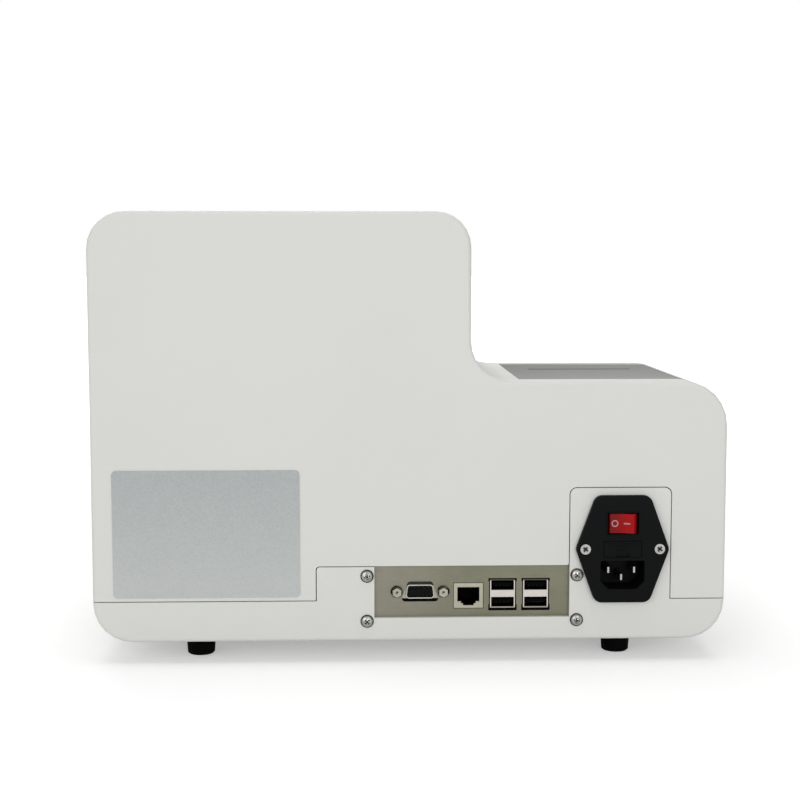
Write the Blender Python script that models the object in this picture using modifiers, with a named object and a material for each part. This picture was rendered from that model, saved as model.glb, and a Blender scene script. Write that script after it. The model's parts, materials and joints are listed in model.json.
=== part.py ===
"""Bench-top urine analyzer with a strip tray, a touch screen, a receipt printer and a waste drawer.

Metres, +Z up, front towards -Y. The origin is on the table, under the middle of the space that the
machine fills. x runs across, depth runs forward from the housing's rear face, z is the height above
the table. The tall block stands on the +X side, the low block on the -X side.
"""

import math

import bmesh
import bpy
from mathutils import Matrix, Vector

# General clearances
GAP = 0.0003
RUNNING_GAP = 0.0005
OVERRUN = 0.002
SEAT = 0.0004
MERGE = 0.00002
MERGE_IN_OUTLINE = 0.00001
SMALLEST_RADIUS = 0.0002

# Housing, in overall sizes
BODY_WIDTH = 0.340
BODY_DEPTH = 0.310
FOOT_HEIGHT = 0.012
LOW_HEIGHT = 0.140
TALL_RISE = 0.090
LOW_WIDTH = 0.138
WALL = 0.0025
SEAM_HEIGHT = 0.022
SEAM_GAP = 0.0005
REAR_EDGE = 0.002

# Side profile of the tall block
TALL_CREST_LEAD = 0.051
SLOPE_FOOT_LEAD = 0.022
SLOPE_FOOT_RISE = 0.026
NOSE_FALL = 0.012
TALL_CREST_RADIUS = 0.024
TALL_FOOT_RADIUS = 0.018
TALL_NOSE_RADIUS = 0.018

# Side profile of the low block
LOW_TOP_DEPTH = 0.156
DECK_SLOPE_RUN = 0.022
DECK_HEIGHT = 0.080
LOW_CREST_RADIUS = 0.020
LOW_FOOT_RADIUS = 0.009
LOW_NOSE_RADIUS = 0.016
FRONT_FOOT_RADIUS = 0.020

# Rounding of the blocks' ends, for the rear, top, slope, deck, front and bottom edges
LOW_END_RADII = (0, 0.024, 0.014, 0.012, 0.012, 0.021)
TALL_END_RADII = (0, 0.020, 0.014, 0.012, 0.012, 0.021)
STEP_END_RADII = (0, 0.019, 0.006, 0.008, 0, 0)
STEP_FILLET = 0.022
STEP_FILLET_RISES = (0, 0.022, 0.003, 0.005, 0, 0)

# Tabs of the lower housing in the rear wall
POWER_TAB_INSET = 0.030
POWER_TAB_WIDTH = 0.0543
POWER_TAB_HEIGHT = 0.0828
POWER_TAB_RADIUS = 0.0035
IO_TAB_WIDTH = 0.1361
IO_TAB_HEIGHT = 0.0405
IO_TAB_RADIUS = 0.0015

# Input and output panel
WINDOW_WIDTH = 0.1052
WINDOW_BOTTOM = 0.01265
PLATE_THICKNESS = 0.0010
PLATE_MARGIN = 0.0085
PLATE_LOWER_MARGIN = 0.0056
SCREW_OUTSET = 0.0039
SCREW_UPPER_HEIGHT = 0.0356
SCREW_LOWER_HEIGHT = 0.0110
PAN_RADIUS = 0.0031
PAN_RISE = 0.0020
PAN_RIM_RISE = 0.0006
SCREW_SHANK_RADIUS = 0.0014
SCREW_HOLE_RADIUS = 0.0018
SCREW_LENGTH = 0.0060
RECESS_WIDTH = 0.0006
RECESS_SPAN = 0.0032
RECESS_DEPTH = 0.0012
IO_SCREW_TURN = 17.0

# Video connector
VIDEO_OFFSET = 0.0805
VIDEO_HEIGHT = 0.0264
VIDEO_SHELL_TOP = 0.0142
VIDEO_SHELL_BOTTOM = 0.0158
VIDEO_SHELL_HEIGHT = 0.0076
VIDEO_SHELL_WALL = 0.0006
VIDEO_SHELL_RADIUS = 0.0018
VIDEO_SHELL_PROUD = 0.0005
VIDEO_CUTOUT_TOP = 0.0130
VIDEO_CUTOUT_BOTTOM = 0.0210
VIDEO_CUTOUT_HEIGHT = 0.0110
VIDEO_CUTOUT_RADIUS = 0.0016
VIDEO_FLANGE_WIDTH = 0.0308
VIDEO_FLANGE_HEIGHT = 0.0125
VIDEO_FLANGE_THICKNESS = 0.0010
VIDEO_FLANGE_RADIUS = 0.0015
VIDEO_INSERT_LENGTH = 0.0080
VIDEO_BODY_WIDTH = 0.0290
VIDEO_BODY_LENGTH = 0.0100
VIDEO_INSERT_DROP = 0.0008
CONTACT_RADIUS = 0.0005
CONTACT_PITCH = 0.0023
CONTACT_ROW_PITCH = 0.0020
CONTACT_DEPTH = 0.0040
CONTACTS_PER_ROW = 5
CONTACT_ROWS = 3
JACK_SPACING = 0.0250
JACK_RADIUS = 0.0026
JACK_EAR_RADIUS = 0.0035
JACK_LENGTH = 0.0045
JACK_SHANK_RADIUS = 0.0014
JACK_SHANK_LENGTH = 0.0060
JACK_HOLE_RADIUS = 0.0010

# Network jack
NETWORK_OFFSET = 0.0544
NETWORK_WIDTH = 0.0158
NETWORK_HEIGHT = 0.0136
NETWORK_BOTTOM = 0.0172
NETWORK_LENGTH = 0.0210
NETWORK_MOUTH_WIDTH = 0.0119
NETWORK_MOUTH_HEIGHT = 0.0078
NETWORK_MOUTH_DEPTH = 0.0150
NETWORK_FRAME_TOP = 0.0022
NETWORK_LATCH_WIDTH = 0.0058
NETWORK_LATCH_HEIGHT = 0.0022
NETWORK_STEP_WIDTH = 0.0080

# Double USB stacks
USB_OFFSETS = (0.0180, 0.0359)
USB_WIDTH = 0.0135
USB_HEIGHT = 0.0156
USB_BOTTOM = 0.0172
USB_LENGTH = 0.0185
USB_WALL = 0.0006
USB_MOUTH_HEIGHT = 0.0053
USB_MOUTH_DEPTH = 0.0120
USB_TONGUE_HEIGHT = 0.0018
USB_TONGUE_DROP = 0.0015
CUTOUT_GAP = 0.0006

# Power inlet
INLET_OFFSET = 0.0563
INLET_HEIGHT = 0.0500
FLANGE_WIDTH = 0.0502
FLANGE_HEIGHT = 0.0580
FLANGE_FLAT = 0.0290
FLANGE_THICKNESS = 0.0030
FLANGE_RADIUS = 0.0050
FLANGE_POINT_RADIUS = 0.0045
INLET_BODY_WIDTH = 0.0272
INLET_BODY_HEIGHT = 0.0470
INLET_BODY_DEPTH = 0.0290
INLET_SCREW_SPACING = 0.0400
COUNTERSUNK_RADIUS = 0.0028
COUNTERSUNK_DEPTH = 0.0016
INLET_SHANK_RADIUS = 0.0014
INLET_SCREW_LENGTH = 0.0080
INLET_SCREW_TURN = 30.0
SOCKET_WIDTH = 0.0238
SOCKET_HEIGHT = 0.0156
SOCKET_DROP = 0.0140
SOCKET_DEPTH = 0.0170
SOCKET_CHAMFER = 0.0044
SOCKET_RADIUS = 0.0012
PIN_SPACING = 0.0140
PIN_WIDTH = 0.0020
PIN_HEIGHT = 0.0042
PIN_LENGTH = 0.0370
PIN_REACH = 0.0130
PIN_TAPER_LENGTH = 0.0015
PIN_TAPER_INSET = 0.0005
EARTH_DROP = 0.0040
PIN_RISE = 0.0020
ROCKER_RISE = 0.0140
ROCKER_RADIUS = 0.0078
ROCKER_HEIGHT = 0.0104
ROCKER_PIVOT_DEPTH = 0.0035
ROCKER_REST_ANGLE = 25.0
ROCKER_THROW = 20.0
ROCKER_SKIRT_ANGLE = 28.0
ROCKER_VALLEY = 0.00335
ROCKER_BAY_WIDTH = 0.0166
ROCKER_BAY_DEPTH = 0.0110
ROCKER_AXLE_RADIUS = 0.0010
ROCKER_AXLE_LENGTH = 0.0130
ROCKER_BEARING_END_GAP = 0.0006
FUSE_DRAWER_WIDTH = 0.0200
FUSE_DRAWER_HEIGHT = 0.0084
FUSE_DRAWER_DEPTH = 0.0230
FUSE_DRAWER_WALL = 0.0014
FUSE_TAB_WIDTH = 0.0070
FUSE_TAB_HEIGHT = 0.0020
FUSE_TAB_DEPTH = 0.0012
FUSE_RADIUS = 0.0025
FUSE_LENGTH = 0.0160
FUSE_CAP_LENGTH = 0.0045
FUSE_GLASS_DROP = 0.0003

# Label plate
LABEL_INSET = 0.0112
LABEL_TAB_MARGIN = 0.0089
LABEL_BOTTOM = 0.0244
LABEL_HEIGHT = 0.0687
LABEL_RADIUS = 0.0022
LABEL_THICKNESS = 0.0004
LABEL_GAP = 0.0001

# Feet
FOOT_SIDE_INSET = 0.055
FOOT_INSET = 0.025
FOOT_TOP_RADIUS = 0.00825
FOOT_BOTTOM_RADIUS = 0.0075
FOOT_EDGE = 0.0008
FOOT_STEM_RADIUS = 0.0030
FOOT_STEM_RISE = 0.0045
FOOT_HOLLOW_RADIUS = 0.0035
FOOT_HOLLOW_DEPTH = 0.0050

# Screen
SCREEN_SIDE_MARGIN = 0.017
SCREEN_END_MARGIN = 0.0261
SCREEN_RADIUS = 0.0040
GLASS_THICKNESS = 0.0014
GLASS_RECESS = 0.0002
GLASS_LEDGE = 0.0045
LCD_MARGIN = 0.0035
LCD_THICKNESS = 0.0055
BRACKET_THICKNESS = 0.0012
BRACKET_EAR_WIDTH = 0.0120
BRACKET_EAR_REACH = 0.0110
BRACKET_WINDOW_MARGIN = 0.0160
SCREEN_BOSS_RADIUS = 0.0040
SCREEN_BOSS_HOLE = 0.0012

# Printer lid and its hinge
LID_INSET = 0.0212
LID_STEP_MARGIN = 0.0277
LID_REAR = 0.0165
LID_FRONT_MARGIN = 0.025
LID_THICKNESS = 0.0022
LID_DROP = 0.0008
LID_CORNER_RADIUS = 0.0030
SLIT_SIDE_GAP = 0.0022
SLIT_DEPTH = 0.0060
SLIT_RADIUS = 0.0015
SLIT_FROM_PLATEN = 0.0060
HINGE_RADIUS = 0.0030
HINGE_PIN_RADIUS = 0.0012
HINGE_BORE_GAP = 0.0001
HINGE_BARREL_EXTRA = 0.0130
LID_RIB_DROP = 0.0030
LID_RIB_WIDTH = 0.0015
LID_RIB_LENGTH = 0.0500
LID_FRAME_WIDTH = 0.0040
HINGE_SIDES = 24

# Paper bin
BIN_BOTTOM = 0.0840
BIN_WALL = 0.0016
BIN_REAR = 0.0240
BIN_SHORTER_THAN_LID = 0.0095
BIN_SIDE_MARGIN = 0.0012
BIN_RIM = 0.0030
BIN_RIM_THICKNESS = 0.0013
BIN_RIM_DROP = 0.0010
EAR_WIDTH = 0.0050
EAR_DROP = 0.0090

# Printer works
PLATEN_PLACE_SHARE = 0.3273
PLATEN_DROP = 0.0140
PLATEN_RADIUS = 0.0060
PLATEN_EXTRA = 0.0010
PLATEN_SHAFT_RADIUS = 0.0015
BEARING_GAP = 0.0001
GEAR_MODULE = 0.0005
PLATEN_TEETH = 30
PINION_TEETH = 12
GEAR_WIDTH = 0.0030
GEAR_BACKLASH = 0.00012
GEAR_TIP_SHARE = 0.9
GEAR_ROOT_SHARE = 1.2
GEAR_ROOT_WIDTH_SHARE = 0.66
GEAR_TIP_WIDTH_SHARE = 0.30
PINION_ANGLE = -50.0
PRINTER_MOTOR_RADIUS = 0.0075
PRINTER_MOTOR_LENGTH = 0.0190
MOTOR_SHAFT_RADIUS = 0.0010
MOTOR_BOSS_RADIUS = 0.0030
MOTOR_BOSS_LENGTH = 0.0010
HEAD_PLATE_THICKNESS = 0.0030
HEAD_PLATE_HEIGHT = 0.0240
HEAD_PLATE_SHORTFALL = 0.0010
HEAD_LINE_WIDTH = 0.0040
ROLL_SIDE_MARGIN = 0.01605
ROLL_REAR_GAP = 0.0024
ROLL_TOP_GAP = 0.0039
ROLL_CORE_RADIUS = 0.0059
ROLL_CLEARANCE = 0.0015
SPINDLE_RADIUS = 0.0058
SPINDLE_END_RADIUS = 0.0030

# Sheet chassis that carries the strip transport
CHASSIS_BELOW_DECK = 0.0220
CHASSIS_THICKNESS = 0.0015
CHASSIS_INSET = 0.0080
CHASSIS_REACH = 0.0580
CHASSIS_LEAD = 0.0130
CHASSIS_FRONT_MARGIN = 0.0110
POST_RADIUS = 0.0040
POST_INSET = 0.0100
POST_HOLE_RADIUS = 0.0013

# Strip tray
TRAY_INSET = 0.0125
TRAY_REACH = 0.0555
TRAY_REAR_MARGIN = 0.0060
TRAY_FRONT_MARGIN = 0.0145
TRAY_WALL = 0.0018
TRAY_BELOW_DECK = 0.0003
TRAY_FLOOR = 0.0022
TRAY_RIB_HEIGHT = 0.0060
TRAY_RIB_WIDTH = 0.0016
TRAY_RIBS = 7
TUNNEL_WALL_HEIGHT = 0.0120
TUNNEL_HEADROOM = 0.0175
OPENING_GAP = 0.0005
ARM_SLOT_RISE = 0.0010

# Push bar and its carriage
CARRIAGE_LENGTH = 0.0240
CARRIAGE_WIDTH = 0.0240
CARRIAGE_HEIGHT = 0.0100
CARRIAGE_BELOW_ROD = 0.0028
CARRIAGE_START = 0.0220
CARRIAGE_END_GAP = 0.0018
ARM_WIDTH = 0.0100
ARM_HEIGHT = 0.0040
BAR_WIDTH = 0.0070
BAR_HEIGHT = 0.0090
BAR_ABOVE_RIBS = 0.0006
BAR_END_GAP = 0.0015
BAR_SLANT = 0.0015
CLAMP_HEIGHT = 0.0036
CLAMP_LENGTH = 0.0120

# Belt drive
BELT_LEAD = 0.0030
ROD_SPREAD = 0.0090
ROD_DROP = 0.0040
ROD_RADIUS = 0.0020
ROD_GAP = 0.0001
PULLEY_RADIUS = 0.0070
PULLEY_WIDTH = 0.0070
PULLEY_RISE = 0.0125
PULLEY_FLANGE = 0.0010
PULLEY_FLANGE_RISE = 0.0012
PULLEY_TEETH = 20
PULLEY_TOOTH_DEPTH = 0.0006
PULLEY_TOOTH_SHARES = ((0.05, 0), (0.45, 0), (0.55, 1), (0.95, 1))
BELT_WIDTH = 0.0046
BELT_THICKNESS = 0.0010
MOTOR_PULLEY_INSET = 0.0180
IDLER_REACH = 0.0120
IDLER_PIN_RADIUS = 0.0015
DRIVE_MOTOR_RADIUS = 0.0100
DRIVE_MOTOR_LENGTH = 0.0280
DRIVE_SHAFT_RADIUS = 0.0014
MOTOR_PLATE_REACH = 0.0120

# Read head
HEAD_OFFSET = 0.0400
HEAD_WIDTH = 0.0240
HEAD_DEPTH = 0.0220
HEAD_HEIGHT = 0.0130
HEAD_RAIL_SHARE = 2 / 3
HEAD_ABOVE_RIBS = 0.0090
HEAD_START = 0.0060
HEAD_ROD_SPREAD = 0.0060
HEAD_ROD_RADIUS = 0.0015
LEAD_SCREW_RADIUS = 0.0018
LENS_RADIUS = 0.0045
LENS_LENGTH = 0.0025
HEAD_MOTOR_RADIUS = 0.0075
HEAD_MOTOR_LENGTH = 0.0200

# Waste drawer
DRAWER_INSET = 0.0200
DRAWER_STEP_MARGIN = 0.0080
DRAWER_BOTTOM = 0.0255
DRAWER_ABOVE_CHASSIS = 0.0030
DRAWER_FRONT_THICKNESS = 0.0030
DRAWER_REAR_MARGIN = 0.1360
DRAWER_BOX_DROP = 0.0055
DRAWER_WALL = 0.0018
DRAWER_SIDE_STEP = 0.0040
DRAWER_RADIUS = 0.0030
GRIP_WIDTH = 0.0600
GRIP_PROUD = 0.0030
GRIP_HEIGHT = 0.0050
GRIP_DROP = 0.0080
GRIP_UNDERCUT = 0.0020
GRIP_RADIUS = 0.00075
GRIP_TIP_RADIUS = 0.0004
RUNNER_WIDTH = 0.0030
RUNNER_FRONT_INSET = 0.0200

# Boards
BOARD_THICKNESS = 0.0016
BOARD_HEIGHT = 0.0153
BOARD_WIDTH = 0.1460
BOARD_DEPTH = 0.0900
BOARD_REAR = 0.0050
BOARD_OFFSET = 0.0860
STANDOFF_RADIUS = 0.0035
STANDOFF_INSET = 0.0060
HEATSINK_SIZE = 0.0300
HEATSINK_HEIGHT = 0.0120
HEATSINK_BASE = 0.0030
HEATSINK_SHIFT = 0.0100
HEATSINK_FINS = 7
HEATSINK_FIN_THICKNESS = 0.0012
SUPPLY_WIDTH = 0.0560
SUPPLY_DEPTH = 0.0920
SUPPLY_INSET = 0.0120
SUPPLY_REAR = 0.0400
SUPPLY_RISE = 0.0070

# Parts on the boards: place across, depth, width, length and height, as shares
BOARD_PART_SHARES = (
    (0.06, 0.45, 0.10, 0.30, 0.05),
    (0.20, 0.60, 0.12, 0.12, 0.03),
    (0.68, 0.35, 0.08, 0.08, 0.10),
    (0.80, 0.35, 0.08, 0.08, 0.10),
    (0.70, 0.62, 0.22, 0.20, 0.04),
    (0.30, 0.90, 0.40, 0.06, 0.08),
)
SUPPLY_PART_SHARES = (
    (0.25, 0.36, 0.45, 0.28, 0.50),
    (0.10, 0.10, 0.22, 0.16, 0.42),
    (0.50, 0.06, 0.40, 0.12, 0.30),
    (0.12, 0.74, 0.20, 0.14, 0.36),
    (0.40, 0.74, 0.20, 0.14, 0.36),
    (0.82, 0.20, 0.05, 0.56, 0.55),
)

# Facets
ROUND_SIDES = 32
SMALL_SIDES = 20
TINY_SIDES = 12
FINE_STEPS = 6
INNER_STEPS = 4
PLAIN_STEPS = 3
BELT_STEPS = 12
HEX_SIDES = 6
UNIT_SIDE = 1.0
ROUND_EDGE_SHARE = 0.5
FLAT_ANGLE = 1.0
SHARP_ANGLE = 35.0

# Places that follow from the sizes above
REAR_PROUD = FLANGE_THICKNESS + GAP + ROCKER_RADIUS * math.sin(
    math.radians(ROCKER_REST_ANGLE + ROCKER_THROW)
) - ROCKER_PIVOT_DEPTH
FRONT_PROUD = GRIP_PROUD
REAR_Y = (BODY_DEPTH + FRONT_PROUD - REAR_PROUD) / 2
LOW_X = -BODY_WIDTH / 2
TALL_X = BODY_WIDTH / 2
STEP_X = LOW_X + LOW_WIDTH
TALL_WIDTH = BODY_WIDTH - LOW_WIDTH
DECK_FOOT_DEPTH = LOW_TOP_DEPTH + DECK_SLOPE_RUN
TALL_TOP_DEPTH = LOW_TOP_DEPTH - TALL_CREST_LEAD
SLOPE_FOOT_DEPTH = DECK_FOOT_DEPTH + SLOPE_FOOT_LEAD
BASE_Z = FOOT_HEIGHT
TALL_HEIGHT = LOW_HEIGHT + TALL_RISE
SLOPE_FOOT_HEIGHT = DECK_HEIGHT + SLOPE_FOOT_RISE
NOSE_HEIGHT = SLOPE_FOOT_HEIGHT - NOSE_FALL
CHASSIS_HEIGHT = DECK_HEIGHT - CHASSIS_BELOW_DECK
TALL_TOP_Z = BASE_Z + TALL_HEIGHT
LOW_TOP_Z = BASE_Z + LOW_HEIGHT
DECK_Z = BASE_Z + DECK_HEIGHT
SEAM_Z = BASE_Z + SEAM_HEIGHT
FLOOR_Z = BASE_Z + WALL
POWER_TAB_X = (LOW_X + POWER_TAB_INSET, LOW_X + POWER_TAB_INSET + POWER_TAB_WIDTH)
IO_TAB_X = POWER_TAB_X[1] + IO_TAB_WIDTH
WINDOW_X = (POWER_TAB_X[1], POWER_TAB_X[1] + WINDOW_WIDTH)
WINDOW_Z = (BASE_Z + WINDOW_BOTTOM, BASE_Z + IO_TAB_HEIGHT)
PLATE_DEPTHS = (WALL + GAP, WALL + GAP + PLATE_THICKNESS)
INLET_X = LOW_X + INLET_OFFSET
INLET_Z = BASE_Z + INLET_HEIGHT
FLANGE_DEPTH = -GAP - FLANGE_THICKNESS
LABEL_X = (IO_TAB_X + LABEL_TAB_MARGIN, TALL_X - LABEL_INSET)
TRAY_X = (LOW_X + TRAY_INSET, STEP_X + TRAY_REACH)
TRAY_REAR = DECK_FOOT_DEPTH + TRAY_REAR_MARGIN
TRAY_DEPTH = BODY_DEPTH - TRAY_REAR - TRAY_FRONT_MARGIN
TRAY_BOTTOM_Z = BASE_Z + CHASSIS_HEIGHT + CHASSIS_THICKNESS + GAP
RIB_TOP_Z = TRAY_BOTTOM_Z + TRAY_FLOOR + TRAY_RIB_HEIGHT
CHASSIS_Z = (BASE_Z + CHASSIS_HEIGHT, BASE_Z + CHASSIS_HEIGHT + CHASSIS_THICKNESS)
CHASSIS_X = (LOW_X + CHASSIS_INSET, STEP_X + CHASSIS_REACH)
CHASSIS_DEPTHS = (LOW_TOP_DEPTH - CHASSIS_LEAD, BODY_DEPTH - CHASSIS_FRONT_MARGIN)
BELT_PLACE = LOW_TOP_DEPTH + BELT_LEAD
DRIVE_Z = CHASSIS_Z[1] + PULLEY_RISE
LID_X = (LOW_X + LID_INSET, STEP_X - LID_STEP_MARGIN)
LID_Z = (LOW_TOP_Z - LID_DROP - LID_THICKNESS, LOW_TOP_Z - LID_DROP)
LID_DEPTHS = (LID_REAR, LOW_TOP_DEPTH - LID_FRONT_MARGIN)
LID_MIDDLE_X = sum(LID_X) / 2
HINGE_DEPTH = LID_REAR + HINGE_RADIUS
HINGE_Z = LID_Z[1] - HINGE_RADIUS
BIN_LENGTH = LID_DEPTHS[1] - LID_DEPTHS[0] - BIN_SHORTER_THAN_LID
ROLL_BOTTOM_Z = BASE_Z + BIN_BOTTOM + BIN_WALL + ROLL_CLEARANCE
ROLL_RADIUS = (LID_Z[0] - ROLL_TOP_GAP - ROLL_BOTTOM_Z) / 2
ROLL_PLACE = BIN_REAR + BIN_WALL + ROLL_REAR_GAP + ROLL_RADIUS
ROLL_FRONT = ROLL_PLACE + ROLL_RADIUS
PLATEN_PLACE = ROLL_FRONT + (BIN_REAR + BIN_LENGTH - ROLL_FRONT) * PLATEN_PLACE_SHARE
SLIT_PLACE = PLATEN_PLACE + SLIT_FROM_PLATEN
ROLL_WIDTH = LID_X[1] - LID_X[0] - 2 * ROLL_SIDE_MARGIN
PLATEN_LENGTH = ROLL_WIDTH + PLATEN_EXTRA
HEAD_PLATE_WIDTH = ROLL_WIDTH - HEAD_PLATE_SHORTFALL
SLIT_WIDTH = ROLL_WIDTH + 2 * SLIT_SIDE_GAP
HINGE_BARREL_LENGTH = ROLL_WIDTH + HINGE_BARREL_EXTRA
SCREEN_WIDTH = TALL_WIDTH - 2 * SCREEN_SIDE_MARGIN
SLOPE_LENGTH = math.hypot(SLOPE_FOOT_DEPTH - TALL_TOP_DEPTH, TALL_HEIGHT - SLOPE_FOOT_HEIGHT)
SCREEN_HEIGHT = SLOPE_LENGTH - 2 * SCREEN_END_MARGIN
DRAWER_BOX_DEPTH = BODY_DEPTH - DRAWER_REAR_MARGIN
DRAWER_FRONT_HEIGHT = CHASSIS_HEIGHT - DRAWER_BOTTOM + DRAWER_ABOVE_CHASSIS
DRAWER_BOX_HEIGHT = DRAWER_FRONT_HEIGHT - DRAWER_BOX_DROP

pieces = bpy.data.collections.new("urine_analyzer")
cutters = bpy.data.collections.new("cutters")


def clear_scene():
    """Empties the scene and links the two collections."""
    for old in list(bpy.data.objects):
        bpy.data.objects.remove(old, do_unlink=True)
    bpy.context.scene.collection.children.link(pieces)
    bpy.context.scene.collection.children.link(cutters)


def place(x, depth, z):
    """A point from its place across, its depth from the rear face and its height."""
    return Vector((x, REAR_Y - depth, z))


def material(name, colour, roughness, metallic=0.0):
    """A plain material of one colour."""
    made = bpy.data.materials.new(name)
    made.use_nodes = True
    shader = made.node_tree.nodes["Principled BSDF"]
    shader.inputs["Base Color"].default_value = (*colour, 1.0)
    shader.inputs["Roughness"].default_value = roughness
    shader.inputs["Metallic"].default_value = metallic
    made.diffuse_color = (*colour, 1.0)
    return made


def mesh_from(bm, name="shape"):
    """Turns a working mesh into a mesh block with its faces pointing out."""
    bmesh.ops.recalc_face_normals(bm, faces=bm.faces)
    mesh = bpy.data.meshes.new(name)
    bm.to_mesh(mesh)
    bm.free()
    return mesh


def box(xs, depths, zs):
    """A block between two places across, two depths and two heights."""
    bm = bmesh.new()
    middle = place(sum(xs) / 2, sum(depths) / 2, sum(zs) / 2)
    sizes = (xs[1] - xs[0], depths[1] - depths[0], zs[1] - zs[0])
    scaled = Matrix.Translation(middle) @ Matrix.Diagonal(sizes).to_4x4()
    bmesh.ops.create_cube(bm, size=UNIT_SIDE, matrix=scaled)
    return mesh_from(bm)


def rod(radius, start, end, sides=SMALL_SIDES, end_radius=None):
    """A round bar or cone between two points."""
    bm = bmesh.new()
    along = end - start
    turn = along.to_track_quat("Z", "Y").to_matrix().to_4x4()
    bmesh.ops.create_cone(
        bm,
        cap_ends=True,
        segments=sides,
        radius1=radius,
        radius2=radius if end_radius is None else end_radius,
        depth=along.length,
        matrix=Matrix.Translation((start + end) / 2) @ turn,
    )
    return mesh_from(bm)


def rounded(corners, radii, steps=PLAIN_STEPS):
    """The corners of an outline, each swept round by its own radius."""
    points = []
    count = len(corners)
    for index, corner in enumerate(corners):
        corner = Vector(corner)
        radius = radii[index] if isinstance(radii, (list, tuple)) else radii
        if not radius:
            points.append(corner)
            continue
        back = (Vector(corners[index - 1]) - corner).normalized()
        ahead = (Vector(corners[(index + 1) % count]) - corner).normalized()
        half = back.angle(ahead) / 2
        centre = corner + (back + ahead).normalized() * radius / math.sin(half)
        first = corner + back * radius / math.tan(half) - centre
        last = corner + ahead * radius / math.tan(half) - centre
        sweep = math.atan2(first.cross(last), first.dot(last))
        for step in range(steps + 1):
            points.append(centre + Matrix.Rotation(sweep * step / steps, 2) @ first)
    return points


def circle(radius, centre=(0, 0), sides=SMALL_SIDES, turn=0.0):
    """Points round a circle."""
    angles = [turn + 2 * math.pi * index / sides for index in range(sides)]
    return [Vector((centre[0] + radius * math.cos(a), centre[1] + radius * math.sin(a))) for a in angles]


def flat_shape(outlines, thickness):
    """A flat outline, with any holes, as a solid about its own middle plane."""
    curve = bpy.data.curves.new("outline", "CURVE")
    curve.dimensions = "2D"
    curve.fill_mode = "BOTH"
    curve.extrude = thickness / 2
    curve.render_resolution_u = 0
    for outline in outlines:
        spline = curve.splines.new("POLY")
        spline.points.add(len(outline) - 1)
        for point, target in zip(outline, spline.points):
            target.co = (point[0], point[1], 0, 1)
        spline.use_cyclic_u = True
    holder = bpy.data.objects.new("outline", curve)
    cutters.objects.link(holder)
    evaluated = holder.evaluated_get(bpy.context.evaluated_depsgraph_get())
    mesh = bpy.data.meshes.new_from_object(evaluated)
    bpy.data.objects.remove(holder, do_unlink=True)
    bm = bmesh.new()
    bm.from_mesh(mesh)
    bmesh.ops.remove_doubles(bm, verts=bm.verts, dist=MERGE_IN_OUTLINE)
    bmesh.ops.dissolve_limit(bm, angle_limit=math.radians(FLAT_ANGLE), verts=bm.verts, edges=bm.edges)
    return mesh_from(bm)


def back_prism(outline, depths, holes=()):
    """An outline in x and z, carried through between two depths."""
    mesh = flat_shape([outline, *holes], depths[1] - depths[0])
    mesh.transform(Matrix.Translation(place(0, sum(depths) / 2, 0)) @ Matrix.Rotation(math.pi / 2, 4, "X"))
    return mesh


def side_prism(outline, xs, holes=()):
    """An outline in depth and z, carried through between two places across."""
    mesh = flat_shape([outline, *holes], xs[1] - xs[0])
    turn = Matrix(((0, 0, -1), (-1, 0, 0), (0, 1, 0))).to_4x4()
    mesh.transform(Matrix.Translation(place(sum(xs) / 2, 0, 0)) @ turn)
    return mesh


def top_prism(outline, zs, holes=()):
    """An outline in x and depth, carried up between two heights."""
    mesh = flat_shape([outline, *holes], zs[1] - zs[0])
    mesh.transform(Matrix.Translation(place(0, 0, sum(zs) / 2)) @ Matrix.Rotation(math.pi, 4, "X"))
    return mesh


def oblong(xs, ys, radius, steps=PLAIN_STEPS):
    """A rectangle with round corners."""
    corners = [(xs[0], ys[0]), (xs[1], ys[0]), (xs[1], ys[1]), (xs[0], ys[1])]
    return rounded(corners, radius, steps)


def turned(profile, sides=SMALL_SIDES):
    """A turned solid from its outer profile of radius and height, top to bottom."""
    mesh = bpy.data.meshes.new("profile")
    mesh.from_pydata([(r, 0, z) for r, z in profile], [(i, i + 1) for i in range(len(profile) - 1)], [])
    holder = bpy.data.objects.new("profile", mesh)
    cutters.objects.link(holder)
    screw = holder.modifiers.new("turn", "SCREW")
    screw.steps = sides
    screw.render_steps = sides
    screw.use_merge_vertices = True
    screw.merge_threshold = MERGE
    evaluated = holder.evaluated_get(bpy.context.evaluated_depsgraph_get())
    made = bpy.data.meshes.new_from_object(evaluated)
    bpy.data.objects.remove(holder, do_unlink=True)
    return made


def moved(mesh, matrix):
    """The same mesh, carried to another place."""
    mesh.transform(matrix)
    return mesh


def piece(name, mesh, finish, origin=None):
    """A named piece. Its origin lies where it is asked to, for a piece that turns or slides."""
    made = bpy.data.objects.new(name, mesh)
    mesh.name = name
    mesh.materials.clear()
    mesh.materials.append(finish)
    pieces.objects.link(made)
    if origin is not None:
        mesh.transform(Matrix.Translation(-origin))
        made.location = origin
    mesh.shade_smooth()
    mesh.set_sharp_from_angle(angle=math.radians(SHARP_ANGLE))
    return made


def helper(mesh, name):
    """A shape that only cuts or joins, kept out of the model."""
    made = bpy.data.objects.new(name, mesh)
    cutters.objects.link(made)
    made.hide_render = True
    made.display_type = "WIRE"
    return made


def combine(target, operation, meshes):
    """Adds one Boolean for each mesh."""
    for mesh in meshes:
        tool = mesh if isinstance(mesh, bpy.types.Object) else helper(mesh, target.name + "_tool")
        boolean = target.modifiers.new(operation.lower(), "BOOLEAN")
        boolean.operation = operation
        boolean.solver = "EXACT"
        boolean.object = tool
    return target


def cut(target, *meshes):
    """Takes shapes out of a piece."""
    return combine(target, "DIFFERENCE", meshes)


def join(target, *meshes):
    """Adds shapes to a piece."""
    return combine(target, "UNION", meshes)


# The housing

def drawn_in(radius, distance):
    """How far a rounded edge has drawn in, at a distance from the face that it ends on."""
    left = max(radius - distance, 0)
    return radius - math.sqrt(radius**2 - left**2)


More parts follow.
